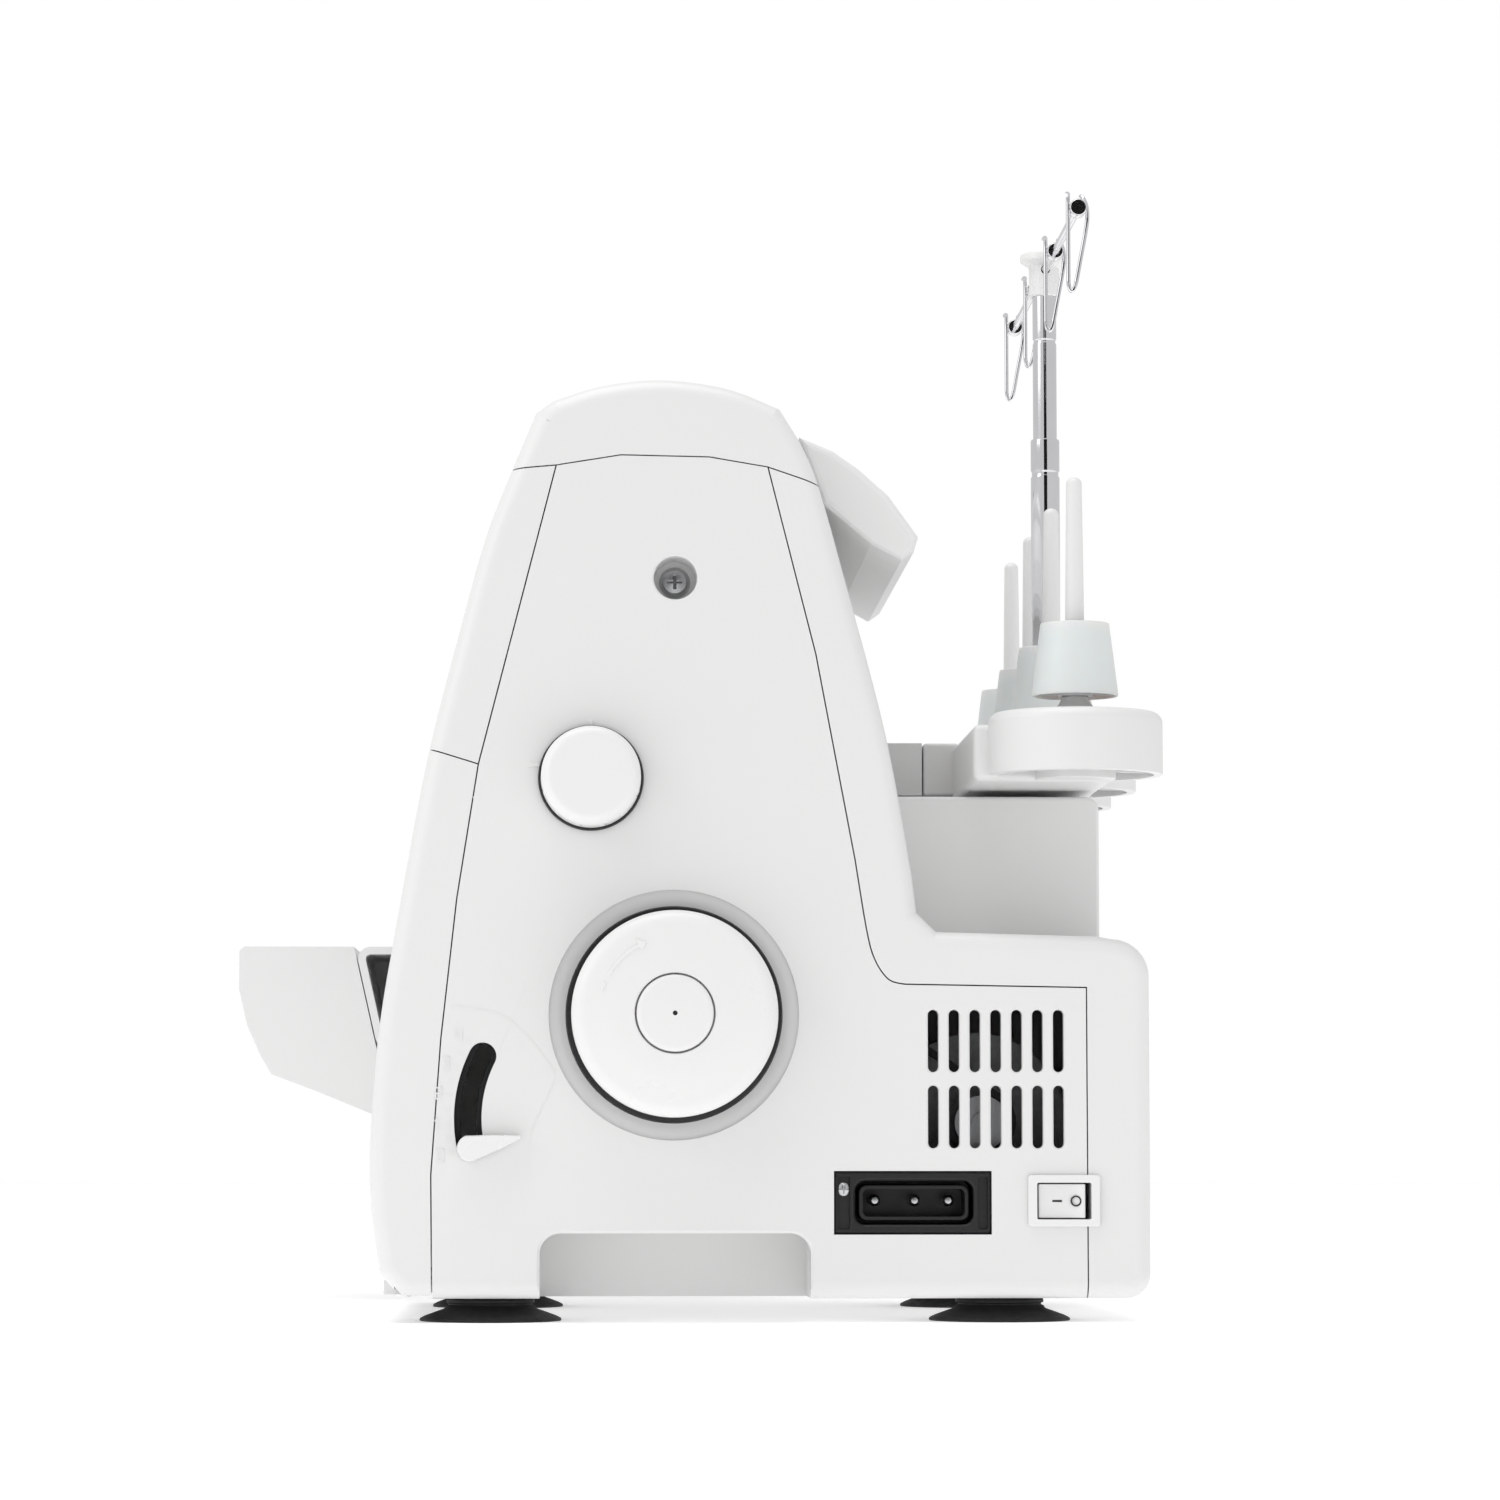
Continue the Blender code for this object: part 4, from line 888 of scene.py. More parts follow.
# ---- studio ----------------------------------------------------------------------
@dataclass
class Studio:
    """Floor, lights and camera, in metres in the row frame."""

    floor_size: float = 12.0
    eye: Place = (1.5425, -0.0295, 0.050)
    aim: Place = (0.1425, 0.0194, 0.1664)
    lens: float = 115.5
    sky: float = 0.7

    def camera(self) -> None:
        """Stand the camera level with the feet, looking a little up at the right side."""
        data = bpy.data.cameras.new("camera")
        data.lens, data.sensor_width = self.lens, 36.0
        data.clip_start, data.clip_end = 0.01, 50.0
        eye = bpy.data.objects.new("camera", data)
        eye.location = self.eye
        eye.rotation_euler = (
            Vector(self.aim) - Vector(self.eye)
        ).to_track_quat("-Z", "Y").to_euler()
        bpy.context.scene.collection.objects.link(eye)
        bpy.context.scene.camera = eye

    def sheet(self, name: str, size: Span, matrix: Matrix) -> bpy.types.Object:
        """A gridded rectangle that belongs to the studio.

        Args:
            name: Its name.
            size: Width and length.
            matrix: Where it lies.

        Returns:
            The sheet.
        """
        bm = bmesh.new()
        bmesh.ops.create_grid(bm, x_segments=8, y_segments=8, size=0.5)
        bmesh.ops.transform(bm, matrix=matrix @ Matrix.Diagonal((*size, 1.0, 1.0)), verts=bm.verts)
        mesh = bpy.data.meshes.new(name)
        bm.to_mesh(mesh)
        bm.free()
        obj = bpy.data.objects.new(name, mesh)
        bpy.context.scene.collection.objects.link(obj)
        return obj

    def floor(self) -> None:
        """A pale matt floor that glows like a light table."""
        floor = self.sheet("floor", (self.floor_size, self.floor_size), Matrix.Identity(4))
        made = Surface("pale_floor")
        made.colour((0.93, 0.93, 0.93), (0.9, 0.9, 0.9), made.noise(3.0))
        made.fix(
            Roughness=1.0, Specular_IOR_Level=0.0, Emission_Color=(1.0, 1.0, 1.0, 1.0),
            Emission_Strength=0.35,
        )
        floor.data.materials.append(made.material)

    def flag(self) -> None:
        """A dark card behind the camera that only reflections see."""
        lie = Matrix.Translation((3.2, 0.0, 0.7)) @ Matrix.Rotation(math.radians(90), 4, "Y")
        card = self.sheet("dark_card", (2.6, 1.5), lie)
        made = Surface("dark_cloth")
        made.colour((0.01, 0.01, 0.01), (0.02, 0.02, 0.02), made.noise(20.0))
        made.fix(Roughness=1.0, Specular_IOR_Level=0.0)
        card.data.materials.append(made.material)
        for way in ("camera", "diffuse", "transmission", "shadow", "volume_scatter"):
            setattr(card, f"visible_{way}", False)

    def light(self, name: str, place: Place, size: float, power: float) -> None:
        """A square soft light that faces the machine.

        Args:
            name: Its name.
            place: Where it hangs.
            size: Its side.
            power: Its power in watts.
        """
        data = bpy.data.lights.new(name, "AREA")
        data.size, data.energy = size, power
        lamp = bpy.data.objects.new(name, data)
        lamp.location = place
        lamp.rotation_euler = (
            Vector((0.0, 0.0, 0.15)) - Vector(place)
        ).to_track_quat("-Z", "Y").to_euler()
        bpy.context.scene.collection.objects.link(lamp)

    def build(self) -> None:
        """Make the whole studio."""
        scene = bpy.context.scene
        scene.view_settings.view_transform = "Standard"
        world = bpy.data.worlds.new("white_room")
        world.use_nodes = True
        back = world.node_tree.nodes["Background"]
        back.inputs["Color"].default_value = (1.0, 1.0, 1.0, 1.0)
        seen = Wave(
            world.node_tree,
            add_node(world.node_tree, "LightPath", {}, {}).outputs["Is Camera Ray"],
        )
        world.node_tree.links.new(
            (self.sky + (1.0 - self.sky) * seen).socket, back.inputs["Strength"],
        )
        scene.world = world
        self.camera()
        self.floor()
        self.flag()
        self.light("overhead", (0.25, -0.25, 1.9), 1.4, 13.0)
        self.light("front_left", (1.0, -1.6, 1.1), 1.0, 4.0)


# ---- carried over ----------------------------------------------------------------
@dataclass
class CarriedOver:
    """The CAD nodes that stay in view, each with its finish and edge rounding in millimetres."""

    finishes: dict[Finish, tuple[str, ...]] = field(default_factory=lambda: {
        Finish.SHELL: ("free_arm_cover", "extension_table", "carry_handle"),
        Finish.KNOB: (
            "tension_dial_1", "tension_dial_2", "tension_dial_3", "tension_dial_4",
            "pressure_screw", "presser_lifter",
        ),
        Finish.BELT: ("drive_belt",),
        Finish.STEEL: (
            "main_shaft", "motor_pulley", "needle_bar", "needle_left", "needle_right", "presser_bar",
            "presser_foot", "needle_plate", "feed_dog", "lower_knife", "upper_knife", "lower_looper",
            "upper_looper", "looper_cover_hinge", "side_cover_screw",
        ),
        Finish.CAST: ("main_frame", "drive_motor"),
        Finish.LENS: ("lamp_lens",),
    })
    soften: float = 0.35

    def dress(self) -> None:
        """Give each node its material, rounded edges and weighted normals."""
        for finish, names in self.finishes.items():
            for name in names:
                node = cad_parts[name]
                node.data.materials.clear()
                node.data.materials.append(finish.material())
                polish(node, self.soften * MM, 35.0)
        named = {name for names in self.finishes.values() for name in names}
        shown = {name for name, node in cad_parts.items() if not node.hide_render}
        LOG.info(
            "carried over %d nodes, in view without finish: %s", len(named), sorted(shown - named),
        )


# ---- covers ----------------------------------------------------------------------
def lofted(outline: Sequence[Point], levels: Sequence[Point], plane: Plane = Plane.YZ) -> Solid:
    """An outline stacked at several levels, each inset by its own distance.

    Args:
        outline: The closed outline, anticlockwise.
        levels: Pairs of inset and level, from the low end to the high end.
        plane: The plane of the outline.

    Returns:
        The solid.
    """
    bm = bmesh.new()
    loops = [
        [bm.verts.new((a, b, level)) for a, b in inset(outline, step)]
        for step,
        level in levels
    ]
    count = len(loops[0])
    for low, high in zip(loops, loops[1:]):
        for k in range(count):
            bm.faces.new([low[k], low[(k + 1) % count], high[(k + 1) % count], high[k]])
    bm.faces.new(loops[0])
    bm.faces.new(loops[-1])
    bmesh.ops.transform(bm, matrix=Matrix(plane.value), verts=bm.verts)
    return Solid(bm)


def round_over(radius: float, low: float, high: float, steps: int = 7) -> list[Point]:
    """Inset and level pairs of a slab whose two rims are quarter rounds.

    Args:
        radius: Radius of the rims.
        low: Lower level.
        high: Upper level.
        steps: Chords in each round.

    Returns:
        The pairs for lofted().
    """
    turn = [math.radians(90 * step / steps) for step in range(steps + 1)]
    rise = [(radius * (1 - math.sin(a)), low + radius * (1 - math.cos(a))) for a in turn]
    fall = [(radius * (1 - math.sin(a)), high - radius * (1 - math.cos(a))) for a in reversed(turn)]
    return rise + fall


@dataclass
class Covers:
    """The plastic skin: column, head and base, divided along its seams."""

    base_end: float = -195.0
    column_end: float = -155.0
    head_end: float = -240.0
    bed: float = 117.0
    head: float = 172.0
    floor: float = 7.0
    rear: float = 165.9
    wall: float = 2.5
    rim: float = 5.0
    gap: float = 0.4
    fit: float = 0.3
    split: float = 40.0
    housing: tuple[Span, Span, Span] = ((60.0, 157.0), (100.0, 157.0), (-150.0, -55.0))
    front_low: tuple[Point, ...] = (
        (-58.4, 14.3), (-61.3, 41.3), (-59.2, 82.0), (-52.7, 122.8), (-45.0, 164.9),
    )
    front_high: tuple[Point, ...] = ((-35.6, 202.9), (-28.2, 229.8), (-20.7, 249.3), (-13.8, 266.0))
    crown: tuple[Point, ...] = (
        (-9.0, 269.5), (5.0, 274.0), (22.7, 276.0), (42.0, 273.6), (57.8, 267.5),
    )
    back: tuple[Point, ...] = (
        (64.0, 257.5), (69.3, 244.6), (78.6, 211.3), (89.0, 170.8), (95.7, 134.4), (97.8, 119.0),
    )
    step_back: tuple[Point, ...] = ((103.5, 113.5), (150.7, 112.3))
    front_seam: tuple[Point, ...] = (
        (0.0, 276.0), (-7.9, 250.1), (-30.3, 162.1), (-36.4, 122.8), (-40.8, 82.1),
        (-43.5, 42.8), (-42.9, -5.0),
    )
    top_seam: tuple[Point, ...] = (
        (-100.0, 242.0), (-7.9, 250.1), (11.1, 253.2), (37.0, 252.7), (54.2, 249.8),
        (69.5, 244.6), (120.0, 225.0),
    )
    rear_seam: tuple[Point, ...] = (
        (54.2, 249.8), (68.2, 194.7), (79.6, 134.4), (82.9, 114.1), (85.3, 105.3),
        (89.3, 99.5), (94.0, 98.1),
    )
    panel_corner: Point = (147.1, 97.2)
    dish: Span = (36.4, 1.9)  # radius and depth
    vents: tuple[float, float, int, float] = (102.3, 6.09, 7, 3.14)  # first, pitch, count, width
    vent_rows: tuple[Span, ...] = ((50.4, 68.7), (72.5, 90.7))
    grip: tuple[Span, float, float] = ((-12.0, 66.6), 25.9, 30.0)  # width, top, depth
    well: tuple[float, float, float, float] = (27.1, 217.0, 6.4, 13.5)  # place, radius and depth
    slot: tuple[float, float, float, float, float, float] = (7.1, 59.2, 40.0, 4.0, 147.7, 195.7)
    inlet: tuple[Span, Span] = ((73.3, 119.2), (25.5, 43.9))
    switch: tuple[Span, Span] = ((129.7, 150.7), (27.8, 42.8))
    foot_x: Span = (-25.0, -154.0)
    foot_y: Span = (-26.5, 123.4)
    hinge: tuple[float, float, float] = (-50.0, 9.2, 1.8)
    tension: tuple[float, ...] = (-75.0, -105.0, -135.0, -165.0)
    chords: int = 9

    def outline(self) -> list[Point]:
        """The side outline of the body.

        Returns:
            Its points, anticlockwise.
        """
        corner = 7.0
        clockwise = [(-51.5, self.floor), *smooth(self.front_low + self.front_high, self.chords)]
        clockwise += smooth(
            self.crown, self.chords,
        ) + smooth(self.back, self.chords) + list(self.step_back)
        clockwise += arc((self.rear - 11.0, 100.5), 11.0, 90, 0, 10)
        clockwise += arc((self.rear - corner, self.floor + corner), corner, 0, -90, 8)
        return clockwise[::-1]

    def skin(self) -> Solid:
        """The whole shell, hollow inside.

        Returns:
            The shell, before its seams.
        """
        outline = self.outline()
        skin = lofted(outline, round_over(self.rim, self.head_end, 0.0))
        bays = (
            (self.column_end, self.bed, self.head),
            (self.base_end, BELOW, (self.bed + self.head) / 2),
        )
        skin.cut(
            *(
                box((BEYOND_LEFT, end), (BEYOND_FRONT, BEYOND_REAR), (low, high))
                for end, low, high in bays
            )
        )
        y, z, x = self.housing
        housing = rectangle(y, z, 4.0)
        skin.join(lofted(housing, round_over(1.2, *x, 3)))
        hollow = plate(inset(outline, self.wall), self.head_end + self.wall, -self.wall)
        w = self.wall
        bays = (
            (self.column_end + w, self.bed - w, self.head + w),
            (self.base_end + w, BELOW, (self.bed + self.head) / 2),
        )
        hollow.cut(
            *(
                box((BEYOND_LEFT, end), (BEYOND_FRONT, BEYOND_REAR), (low, high))
                for end, low, high in bays
            )
        )
        hollow.join(plate(inset(housing, w), x[0] + w, x[1] - w))
        return skin.cut(hollow)

    def take(self, rest: Solid, region: Callable[[float], Solid]) -> Solid:
        """Split the skin: region(+) is inside the seam, region(-) outside.

        Args:
            rest: The skin; it loses the region.
            region: Makes the region, inset by a distance.

        Returns:
            The piece inside.
        """
        piece = rest.copy().keep(region(self.gap / 2))
        rest.cut(region(-self.gap / 2))
        return piece

    def panel_region(self, edge: float) -> Solid:
        """The field of the right side cover.

        Args:
            edge: How far it stays inside the seam's middle.

        Returns:
            The region.
        """
        curve = smooth(self.rear_seam[2:], 4)
        outline = list(self.rear_seam[:2]) + curve + [self.panel_corner, (147.2, -5.0)]
        outline += list(self.front_seam[::-1][:-1]) + list(self.top_seam[2:-3])
        return plate(inset(outline[::-1], edge), -self.rim - self.wall + edge, 1.0)

    def top_region(self, edge: float) -> Solid:
        """Everything above the seam under the top cover.

        Args:
            edge: How far it stays inside the seam's middle.

        Returns:
            The region.
        """
        outline = [*self.top_seam, (120.0, ABOVE), (-100.0, ABOVE)]
        return plate(inset(outline, edge), self.head_end - 5, 5.0)

    def looper_region(self, edge: float) -> Solid:
        """The field of the front cover that opens.

        Args:
            edge: How far it stays inside the seam's middle.

        Returns:
            The region.
        """
        outline = [(-100.0, -5.0), (-42.9, -5.0), *self.front_seam[::-1][1:-2], (-100.0, 183.6)]
        return plate(inset(outline, edge), self.base_end - 5, 5.0)

    def pan_region(self, edge: float) -> Solid:
        """The floor of the body inside its walls.

        Args:
            edge: How far it stays inside the seam's middle.

        Returns:
            The region.
        """
        x = (self.base_end + self.wall + edge, -self.rim - self.wall - edge)
        return box(x, (-46.0 + edge, self.rear - 7.0 - edge), (0.0, self.floor + self.wall + 0.5))

    def slots(self) -> Solid:
        """The cooling slots, with a slight draft.

        Returns:
            One cutter for all of them.
        """
        first, pitch, count, width = self.vents
        end = width / 2
        cutters = []
        for low, high in self.vent_rows:
            for column in range(count):
                middle = first + column * pitch
                slot = arc((middle, high - end), end, 0, 180, 8) + arc(
                    (middle, low + end), end, 180, 360, 8,
                )
                cutters.append(
                    lofted(
                        slot, [(0.25, -6.0), (0.0, -1.0), (0.0, -0.45), (-0.45, 0.0), (-0.45, 1.0)],
                    )
                )
        return gathered(cutters)

    def panel(self, panel: Solid) -> None:
        """The side panel: wheel dish, screw well, vents, grip and holes for the controls.

        Args:
            panel: The piece cut from the skin.
        """
        radius, deep = self.dish
        y, z, well, depth = self.well
        centre = (0.0, WHEEL_Y, WHEEL_Z)
        panel.join(
            turned(
                [
                    (0.0, -deep - 2.5), (radius + 2.5, -deep - 2.5), (radius + 2.5, -1.0),
                    (0.0, -1.0),
                ],
                centre,
            ),
            turned(
                [(0.0, -depth - 2.5), (well + 2.5, -depth - 2.5), (well + 2.5, -1.0), (0.0, -1.0)],
                (0.0, y, z), sides=48,
            ),
        )
        bowl = [(0.0, -deep), (radius - 5.2, -deep)]
        bowl += [
            (radius - 5.2 * (1 - t) ** 1.5, -deep + (deep - 0.8) * t)
            for t in (0.2, 0.4, 0.6, 0.8)
        ]
        bowl += [(radius, -0.8), (radius, 3.0), (0.0, 3.0)]
        mouth = [
            (0.0, -depth), (well - 0.3, -depth), (well, -0.5), (well + 0.5, 0.0),
            (well + 1.5, 1.0), (0.0, 1.0),
        ]
        ly, lz, lr, half, start, end = self.slot
        turn = math.degrees(half / lr)
        ends = [arc((ly, lz), lr, angle, angle, 1)[0] for angle in (start + turn, end - turn)]
        low, top, inner = self.grip
        grip = rounded(
            [(low[0], -5.0, 0), (low[1], -5.0, 0), (low[1], top, 6.0), (low[0], top, 6.0)], 8,
        )
        panel.cut(
            turned(bowl, centre), rod((-20, *centre[1:]), (3, *centre[1:]), 9.0),
            turned(mouth, (0.0, y, z), sides=48), rod((-30, y, z), (3, y, z), 2.4),
            rod((-5, 2.5, 158.0), (3, 2.5, 158.0), 4.6),
            plate(band((ly, lz), lr - half, lr + half, start + turn, end - turn, 24), -6.0, 2.0),
            *(rod((-6.2, *spot), (2.2, *spot), half - 0.01, 48) for spot in ends),
            self.slots(), lofted(grip, [(0.0, -inner), (0.0, -0.8), (-0.8, 0.0), (-0.8, 2.0)]),
            box((-30, 5), *self.inlet), box(
                (-30, 5), *((a + 1.0, b - 1.0) for a, b in self.switch)
            ),
        )
        panel.dress("side_panel", Finish.SHELL, stands_for=["right_side_cover"], soften=0.25)

    def pan(self, pan: Solid) -> None:
        """The floor with the grip's pocket, hinge lugs and foot holes.

        Args:
            pan: The piece cut from the skin.
        """
        low, top, inner = self.grip
        w = self.wall
        hy, hz, hr = self.hinge
        pocket = box(
            (-inner, -self.rim - w - self.gap), (low[0] - w, low[1] + w),
            (self.floor + 0.6, top + w),
        )
        lugs = [
            box((x - 4, x + 4), (hy - 3.1, -37.0), (self.floor + 0.6, self.floor + 5.0))
            for x in (-50.0, -140.0)
        ]
        peg = turned(
            [(0.0, -1.5), (1.8, -1.5), (2.5, -0.9), (2.5, 1.0), (0.0, 1.0)],
            (-87.0, 29.0, self.floor), (0, 0, 1), 32,
        )
        pan.join(pocket, peg, *lugs)
        studs = [rod((x, y, -2), (x, y, 12), 3.3) for x in self.foot_x for y in self.foot_y]
        pan.cut(
            box((-inner + w, 5.0), low, (0, top)),
            rod((self.base_end, hy, hz), (0, hy, hz), hr + self.fit), *studs,
        )
        pan.dress("floor_pan", Finish.SHELL, stands_for=["base_pan"], soften=0.4)

    def looper_door(self, door: Solid) -> None:
        """The front cover that slides right and folds down, with its hinge knuckles.

        Args:
            door: The piece cut from the skin.
        """
        hy, hz, hr = self.hinge
        door.cut(
            box((self.base_end + self.wall, -self.wall), (-54.0, -30.0), (0, 12.0)),
            box((BEYOND_LEFT, 10), (-55.0, -30.0), (0, 8.0)),
        )
        door.join(
            *(
                box((x - 5, x + 5), (-57.5, hy + 2.7), (self.floor + 1.0, 12.0))
                for x in (-20.0, -95.0, -172.0)
            )
        )
        door.cut(rod((self.base_end + 4, hy, hz), (-4, hy, hz), hr + self.fit))
        door.dress("looper_door", Finish.SHELL, "looper_cover", ["looper_cover"], soften=0.3)

    def front(self, front: Solid) -> None:
        """The upper front shell: dial slots, needle opening and the bed's cut-outs.

        Args:
            front: The piece cut from the skin.
        """
        slots = []
        for x in self.tension:
            slot = rectangle((x - 5.3, x + 5.3), (209.5, 238.5), 2.0)
            slots.append(plate(slot, -60.0, -11.6, Plane.XZ))
        front.cut(
            gathered(slots),
            box((-189, -171), (-1, 31), (self.head - 3, self.head + 5)),
            box((-222, -206), (12, 28), (self.head - 3, self.head + 5)),
            box((-191.8, -157), (-29.5, 34.3), (self.bed - 5, self.bed + 3)),
            box((-200, -185), (-3, 49), (81, 104)),
        )
        front.dress("front_shell", Finish.SHELL, stands_for=["front_upper_cover"], soften=0.4)

    def back_shell(self, rear: Solid) -> None:
        """The rear shell with the spool stand's housing behind it.

        Args:
            rear: The piece cut from the skin.
        """
        boss = box((-150, -100), (70, 106.3), (160.6, 177))
        boss.cut(
            plate(inset(self.outline(), self.wall / 2), self.column_end + self.wall, -self.wall)
        )
        rear.join(boss)
        rear.cut(
            rod((-205, 50, 186), (-205, 99, 186), 5.3), box((-200, -185), (-3, 49), (81, 104)),
            box((-30, 5), *((a + 1.0, b - 1.0) for a, b in self.switch)),
        )
        rear.dress("rear_shell", Finish.SHELL, stands_for=["rear_cover"], soften=0.4)

    def build(self) -> None:
        """Make the skin, divide it and dress each cover."""
        rest = self.skin()
        self.panel(self.take(rest, self.panel_region))
        top = self.take(rest, self.top_region)
        top.cut(rod((-180, 24, 260), (-180, 24, 290), 3.6))
        top.dress("crown_cover", Finish.SHELL, stands_for=["top_cover"], soften=0.3)
        self.looper_door(self.take(rest, self.looper_region))
        self.pan(self.take(rest, self.pan_region))
        ends = self.take(
            rest,
            lambda edge: box((-300, self.head_end + 9.0 - edge), (-200, 200), (self.head - 5, 300)),
        )
        ends.dress("head_end", Finish.SHELL, stands_for=["head_end_cover"], soften=0.4)
        self.front(
            self.take(rest, lambda edge: box((-400, 100), (-200, self.split - edge), (-10, 400)))
        )
        self.back_shell(rest)


# ---- wheel, dial and lever -------------------------------------------------------
def on_axis(y: float, z: float, x: float = 0.0) -> Matrix:
    """A frame whose XY plane is the panel's plane at a place: first axis Y, second axis Z."""
    return Matrix.Translation((x, y, z)) @ Matrix(Plane.YZ.value)


STROKES = {
    "0": "M 0 0 1 0 1 2 0 2 0 0", "1": "M 0.2 1.6 0.6 2 0.6 0", "2": "M 0 2 1 2 1 1 0 1 0 0 1 0",
    "3": "M 0 2 1 2 1 1 0.2 1 M 1 1 1 0 0 0", "4": "M 0 2 0 1 1 1 M 1 2 1 0", "5": "M 1 2 0 2 0 1 1 1 1 0 0 0",
    "S": "M 1 2 0 2 0 1 1 1 1 0 0 0", "I": "M 0.5 0 0.5 2", "-": "M 0 1 1 1",
}


def glyph(sign: str, place: Matrix, size: float, width: float, height: float) -> list[Solid]:
    """A raised figure made of short bars.

    Args:
        sign: Which figure.
        place: Frame whose XY plane it lies in.
        size: Its height.
        width: Width of a bar.
        height: How far it stands out.

    Returns:
        Its bars, each its own solid.
    """
    bars = []
    for run in STROKES[sign].split("M")[1:]:
        numbers = [float(n) * size / 2 for n in run.split()]
        points = list(zip(numbers[::2], numbers[1::2]))
        for level, (start, end) in enumerate(zip(points, points[1:])):
            a, b = Vector(start), Vector(end)
            side = (b - a).normalized().orthogonal() * width / 2
            reach = (b - a).normalized() * width / 2
            outline = [
                tuple(a - reach - side), tuple(b + reach - side), tuple(b + reach + side),
                tuple(a - reach + side),
            ]
            shift = Matrix.Translation((-size / 4, -size / 2, 0.0))
            rise = height - 0.01 * level
            bars.append(plate(outline, -0.2, rise, Plane.XY).move(place @ shift))
    return bars


@dataclass
class Handwheel:
    """The wheel that turns the machine by hand, on its black rear ring."""

    radius: float = 29.8
    face: float = 19.4
    cap: float = 11.1
    ring: float = 31.5
    bore: float = 5.3

    def build(self) -> None:
        """Make the wheel, its cap and its ring."""
        centre = (0.0, WHEEL_Y, WHEEL_Z)
        r = self.radius
        shoulder = [
            (r - 4.6 * (1 - math.cos(a)), 14.4 + 3.9 * math.sin(a))
            for a in (math.radians(10 * k) for k in range(10))
        ]
        dome = [
            (r - 4.6 - (r - 16.6) * t, 18.3 + 1.1 * math.sin(math.pi / 2 * t))
            for t in (0.25, 0.5, 0.75, 1.0)
        ]
        face = [
            (11.9, self.face), (11.6, self.face - 0.35), (11.6, 16.2), (self.bore, 16.2),
            (self.bore, -11.0),
        ]
        profile = [(8.0, -11.0), (8.0, 3.6), (r - 0.6, 3.6), (r, 4.2), *shoulder, *dome, *face]
        wheel = turned(profile, centre, sides=160)
        marks = []
        for start, end in ((118.0, 150.0), (156.0, 164.0)):
            marks.append(plate(band((WHEEL_Y, WHEEL_Z), 21.6, 22.5, start, end, 14), 17.5, 19.05))
        tip = arc((WHEEL_Y, WHEEL_Z), 22.05, 112.0, 112.0, 1)[0]
        wings = [arc((WHEEL_Y, WHEEL_Z), radius, 118.5, 118.5, 1)[0] for radius in (24.2, 19.9)]
        marks.append(plate([tip, wings[0], wings[1]], 17.5, 19.06))
        wheel.dress("wheel_body", Finish.KNOB, "wheel", ["handwheel"], soften=0.0, crease=40.0)
        gathered(marks).dress("turn_arrow", Finish.KNOB, "wheel", soften=0.1)
        top = [
            (0.0, 20.0), (9.6, 19.85), (10.4, 19.7), (10.9, 19.4), (11.1, 18.9), (11.1, 16.6),
            (0.0, 16.6),
        ]
        turned([(0.7, 19.2), (0.7, 20.0), *top[1:], (0.0, 19.2)][::-1], centre, sides=96).dress(
            "wheel_cap", Finish.KNOB, "wheel", ["handwheel_cap"], crease=50.0,
        )
        dot = [(0.0, 19.2), (0.7, 19.2), (0.7, 19.6), (0.0, 19.6)]
        turned(dot, centre, sides=24).dress("cap_eye", Finish.BLACK, "wheel")
        rim = self.ring
        ring = [
            (20.0, -2.6), (rim - 1.2, -2.6), (rim - 0.35, -2.2), (rim, -1.4), (rim, 2.6),
            (rim - 0.4, 3.2), (20.0, 3.2),
        ]
        turned(ring, centre, sides=160).dress(
            "wheel_ring", Finish.BLACK, "wheel", ["handwheel_rim"],
        )


@dataclass
class LengthDial:
    """The stitch length dial with its black base ring, figures and pointer; the ring's thin black band round
    the dial's foot is also painted shade for the shadow gap under the dial.
    """

    y: float = 2.5
    z: float = 158.0
    radius: float = 14.7
    face: float = 14.0
    figures: str = "S12345"

    def build(self) -> None:
        """Make the dial and its marks."""
        centre = (0.0, self.y, self.z)
        r, f = self.radius, self.face
        edge = [
            (r - 0.25 - 3.2 * (1 - math.sin(a)), f - 3.2 * (1 - math.cos(a)))
            for a in (math.radians(10 * k) for k in range(1, 10))
        ]
        profile = [
            (0.0, f), (r - 3.6, f - 0.02), *edge, (r - 0.1, 2.2), (r - 0.6, 1.9), (4.2, 1.9),
            (4.2, -9.0), (0.0, -9.0),
        ]
        knob = turned(profile, centre, sides=120)
        knob.dress(
            "length_dial", Finish.KNOB, "stitch_length_dial", ["stitch_length_dial"], crease=45.0,
        )
        # black base ring; the thin band of it that shows round the dial's foot also paints the shadow gap
        # under the dial (painted shade)
        base = [(4.3, 0.4), (r + 0.7, 0.4), (r + 0.7, 1.3), (r + 0.3, 1.8), (4.3, 1.8)]
        turned(base, centre, sides=120).dress(
            "dial_ring_and_gap_shade", Finish.BLACK, "stitch_length_dial", crease=40.0,
        )
        figures = []
        for step, sign in enumerate(self.figures):
            turn = math.radians(200 + 28 * step)
            spot = Matrix.Translation(
                (6.2, self.y, self.z)
            ) @ Matrix.Rotation(turn, 4, "X") @ Matrix.Translation((0, r - 0.28, 0))
            lay = Matrix(((0, 1, 0, 0), (0, 0, 1, 0), (1, 0, 0, 0), (0, 0, 0, 1)))
            figures += glyph(sign, spot @ lay, 3.0, 0.4, 0.25)
        gathered(figures).dress("dial_figures", Finish.KNOB, "stitch_length_dial", soften=0.0)
        pointer = [
            on_panel(
                rounded(
                    [
                        (-15.6, 161.2, 0.2), (-11.9, 161.5, 0.2), (-11.9, 162.3, 0.2),
                        (-15.6, 162.6, 0.2),
                    ],
                    3,
                ),
                0.5,
            ),
            on_panel(
                rounded(
                    [(2.1, 173.4, 0.2), (2.9, 173.4, 0.2), (2.9, 175.0, 0.2), (2.1, 175.0, 0.2)], 3,
                ),
                0.4,
            ),
        ]
        gathered(pointer).dress("dial_pointers", Finish.SHELL, soften=0.1)


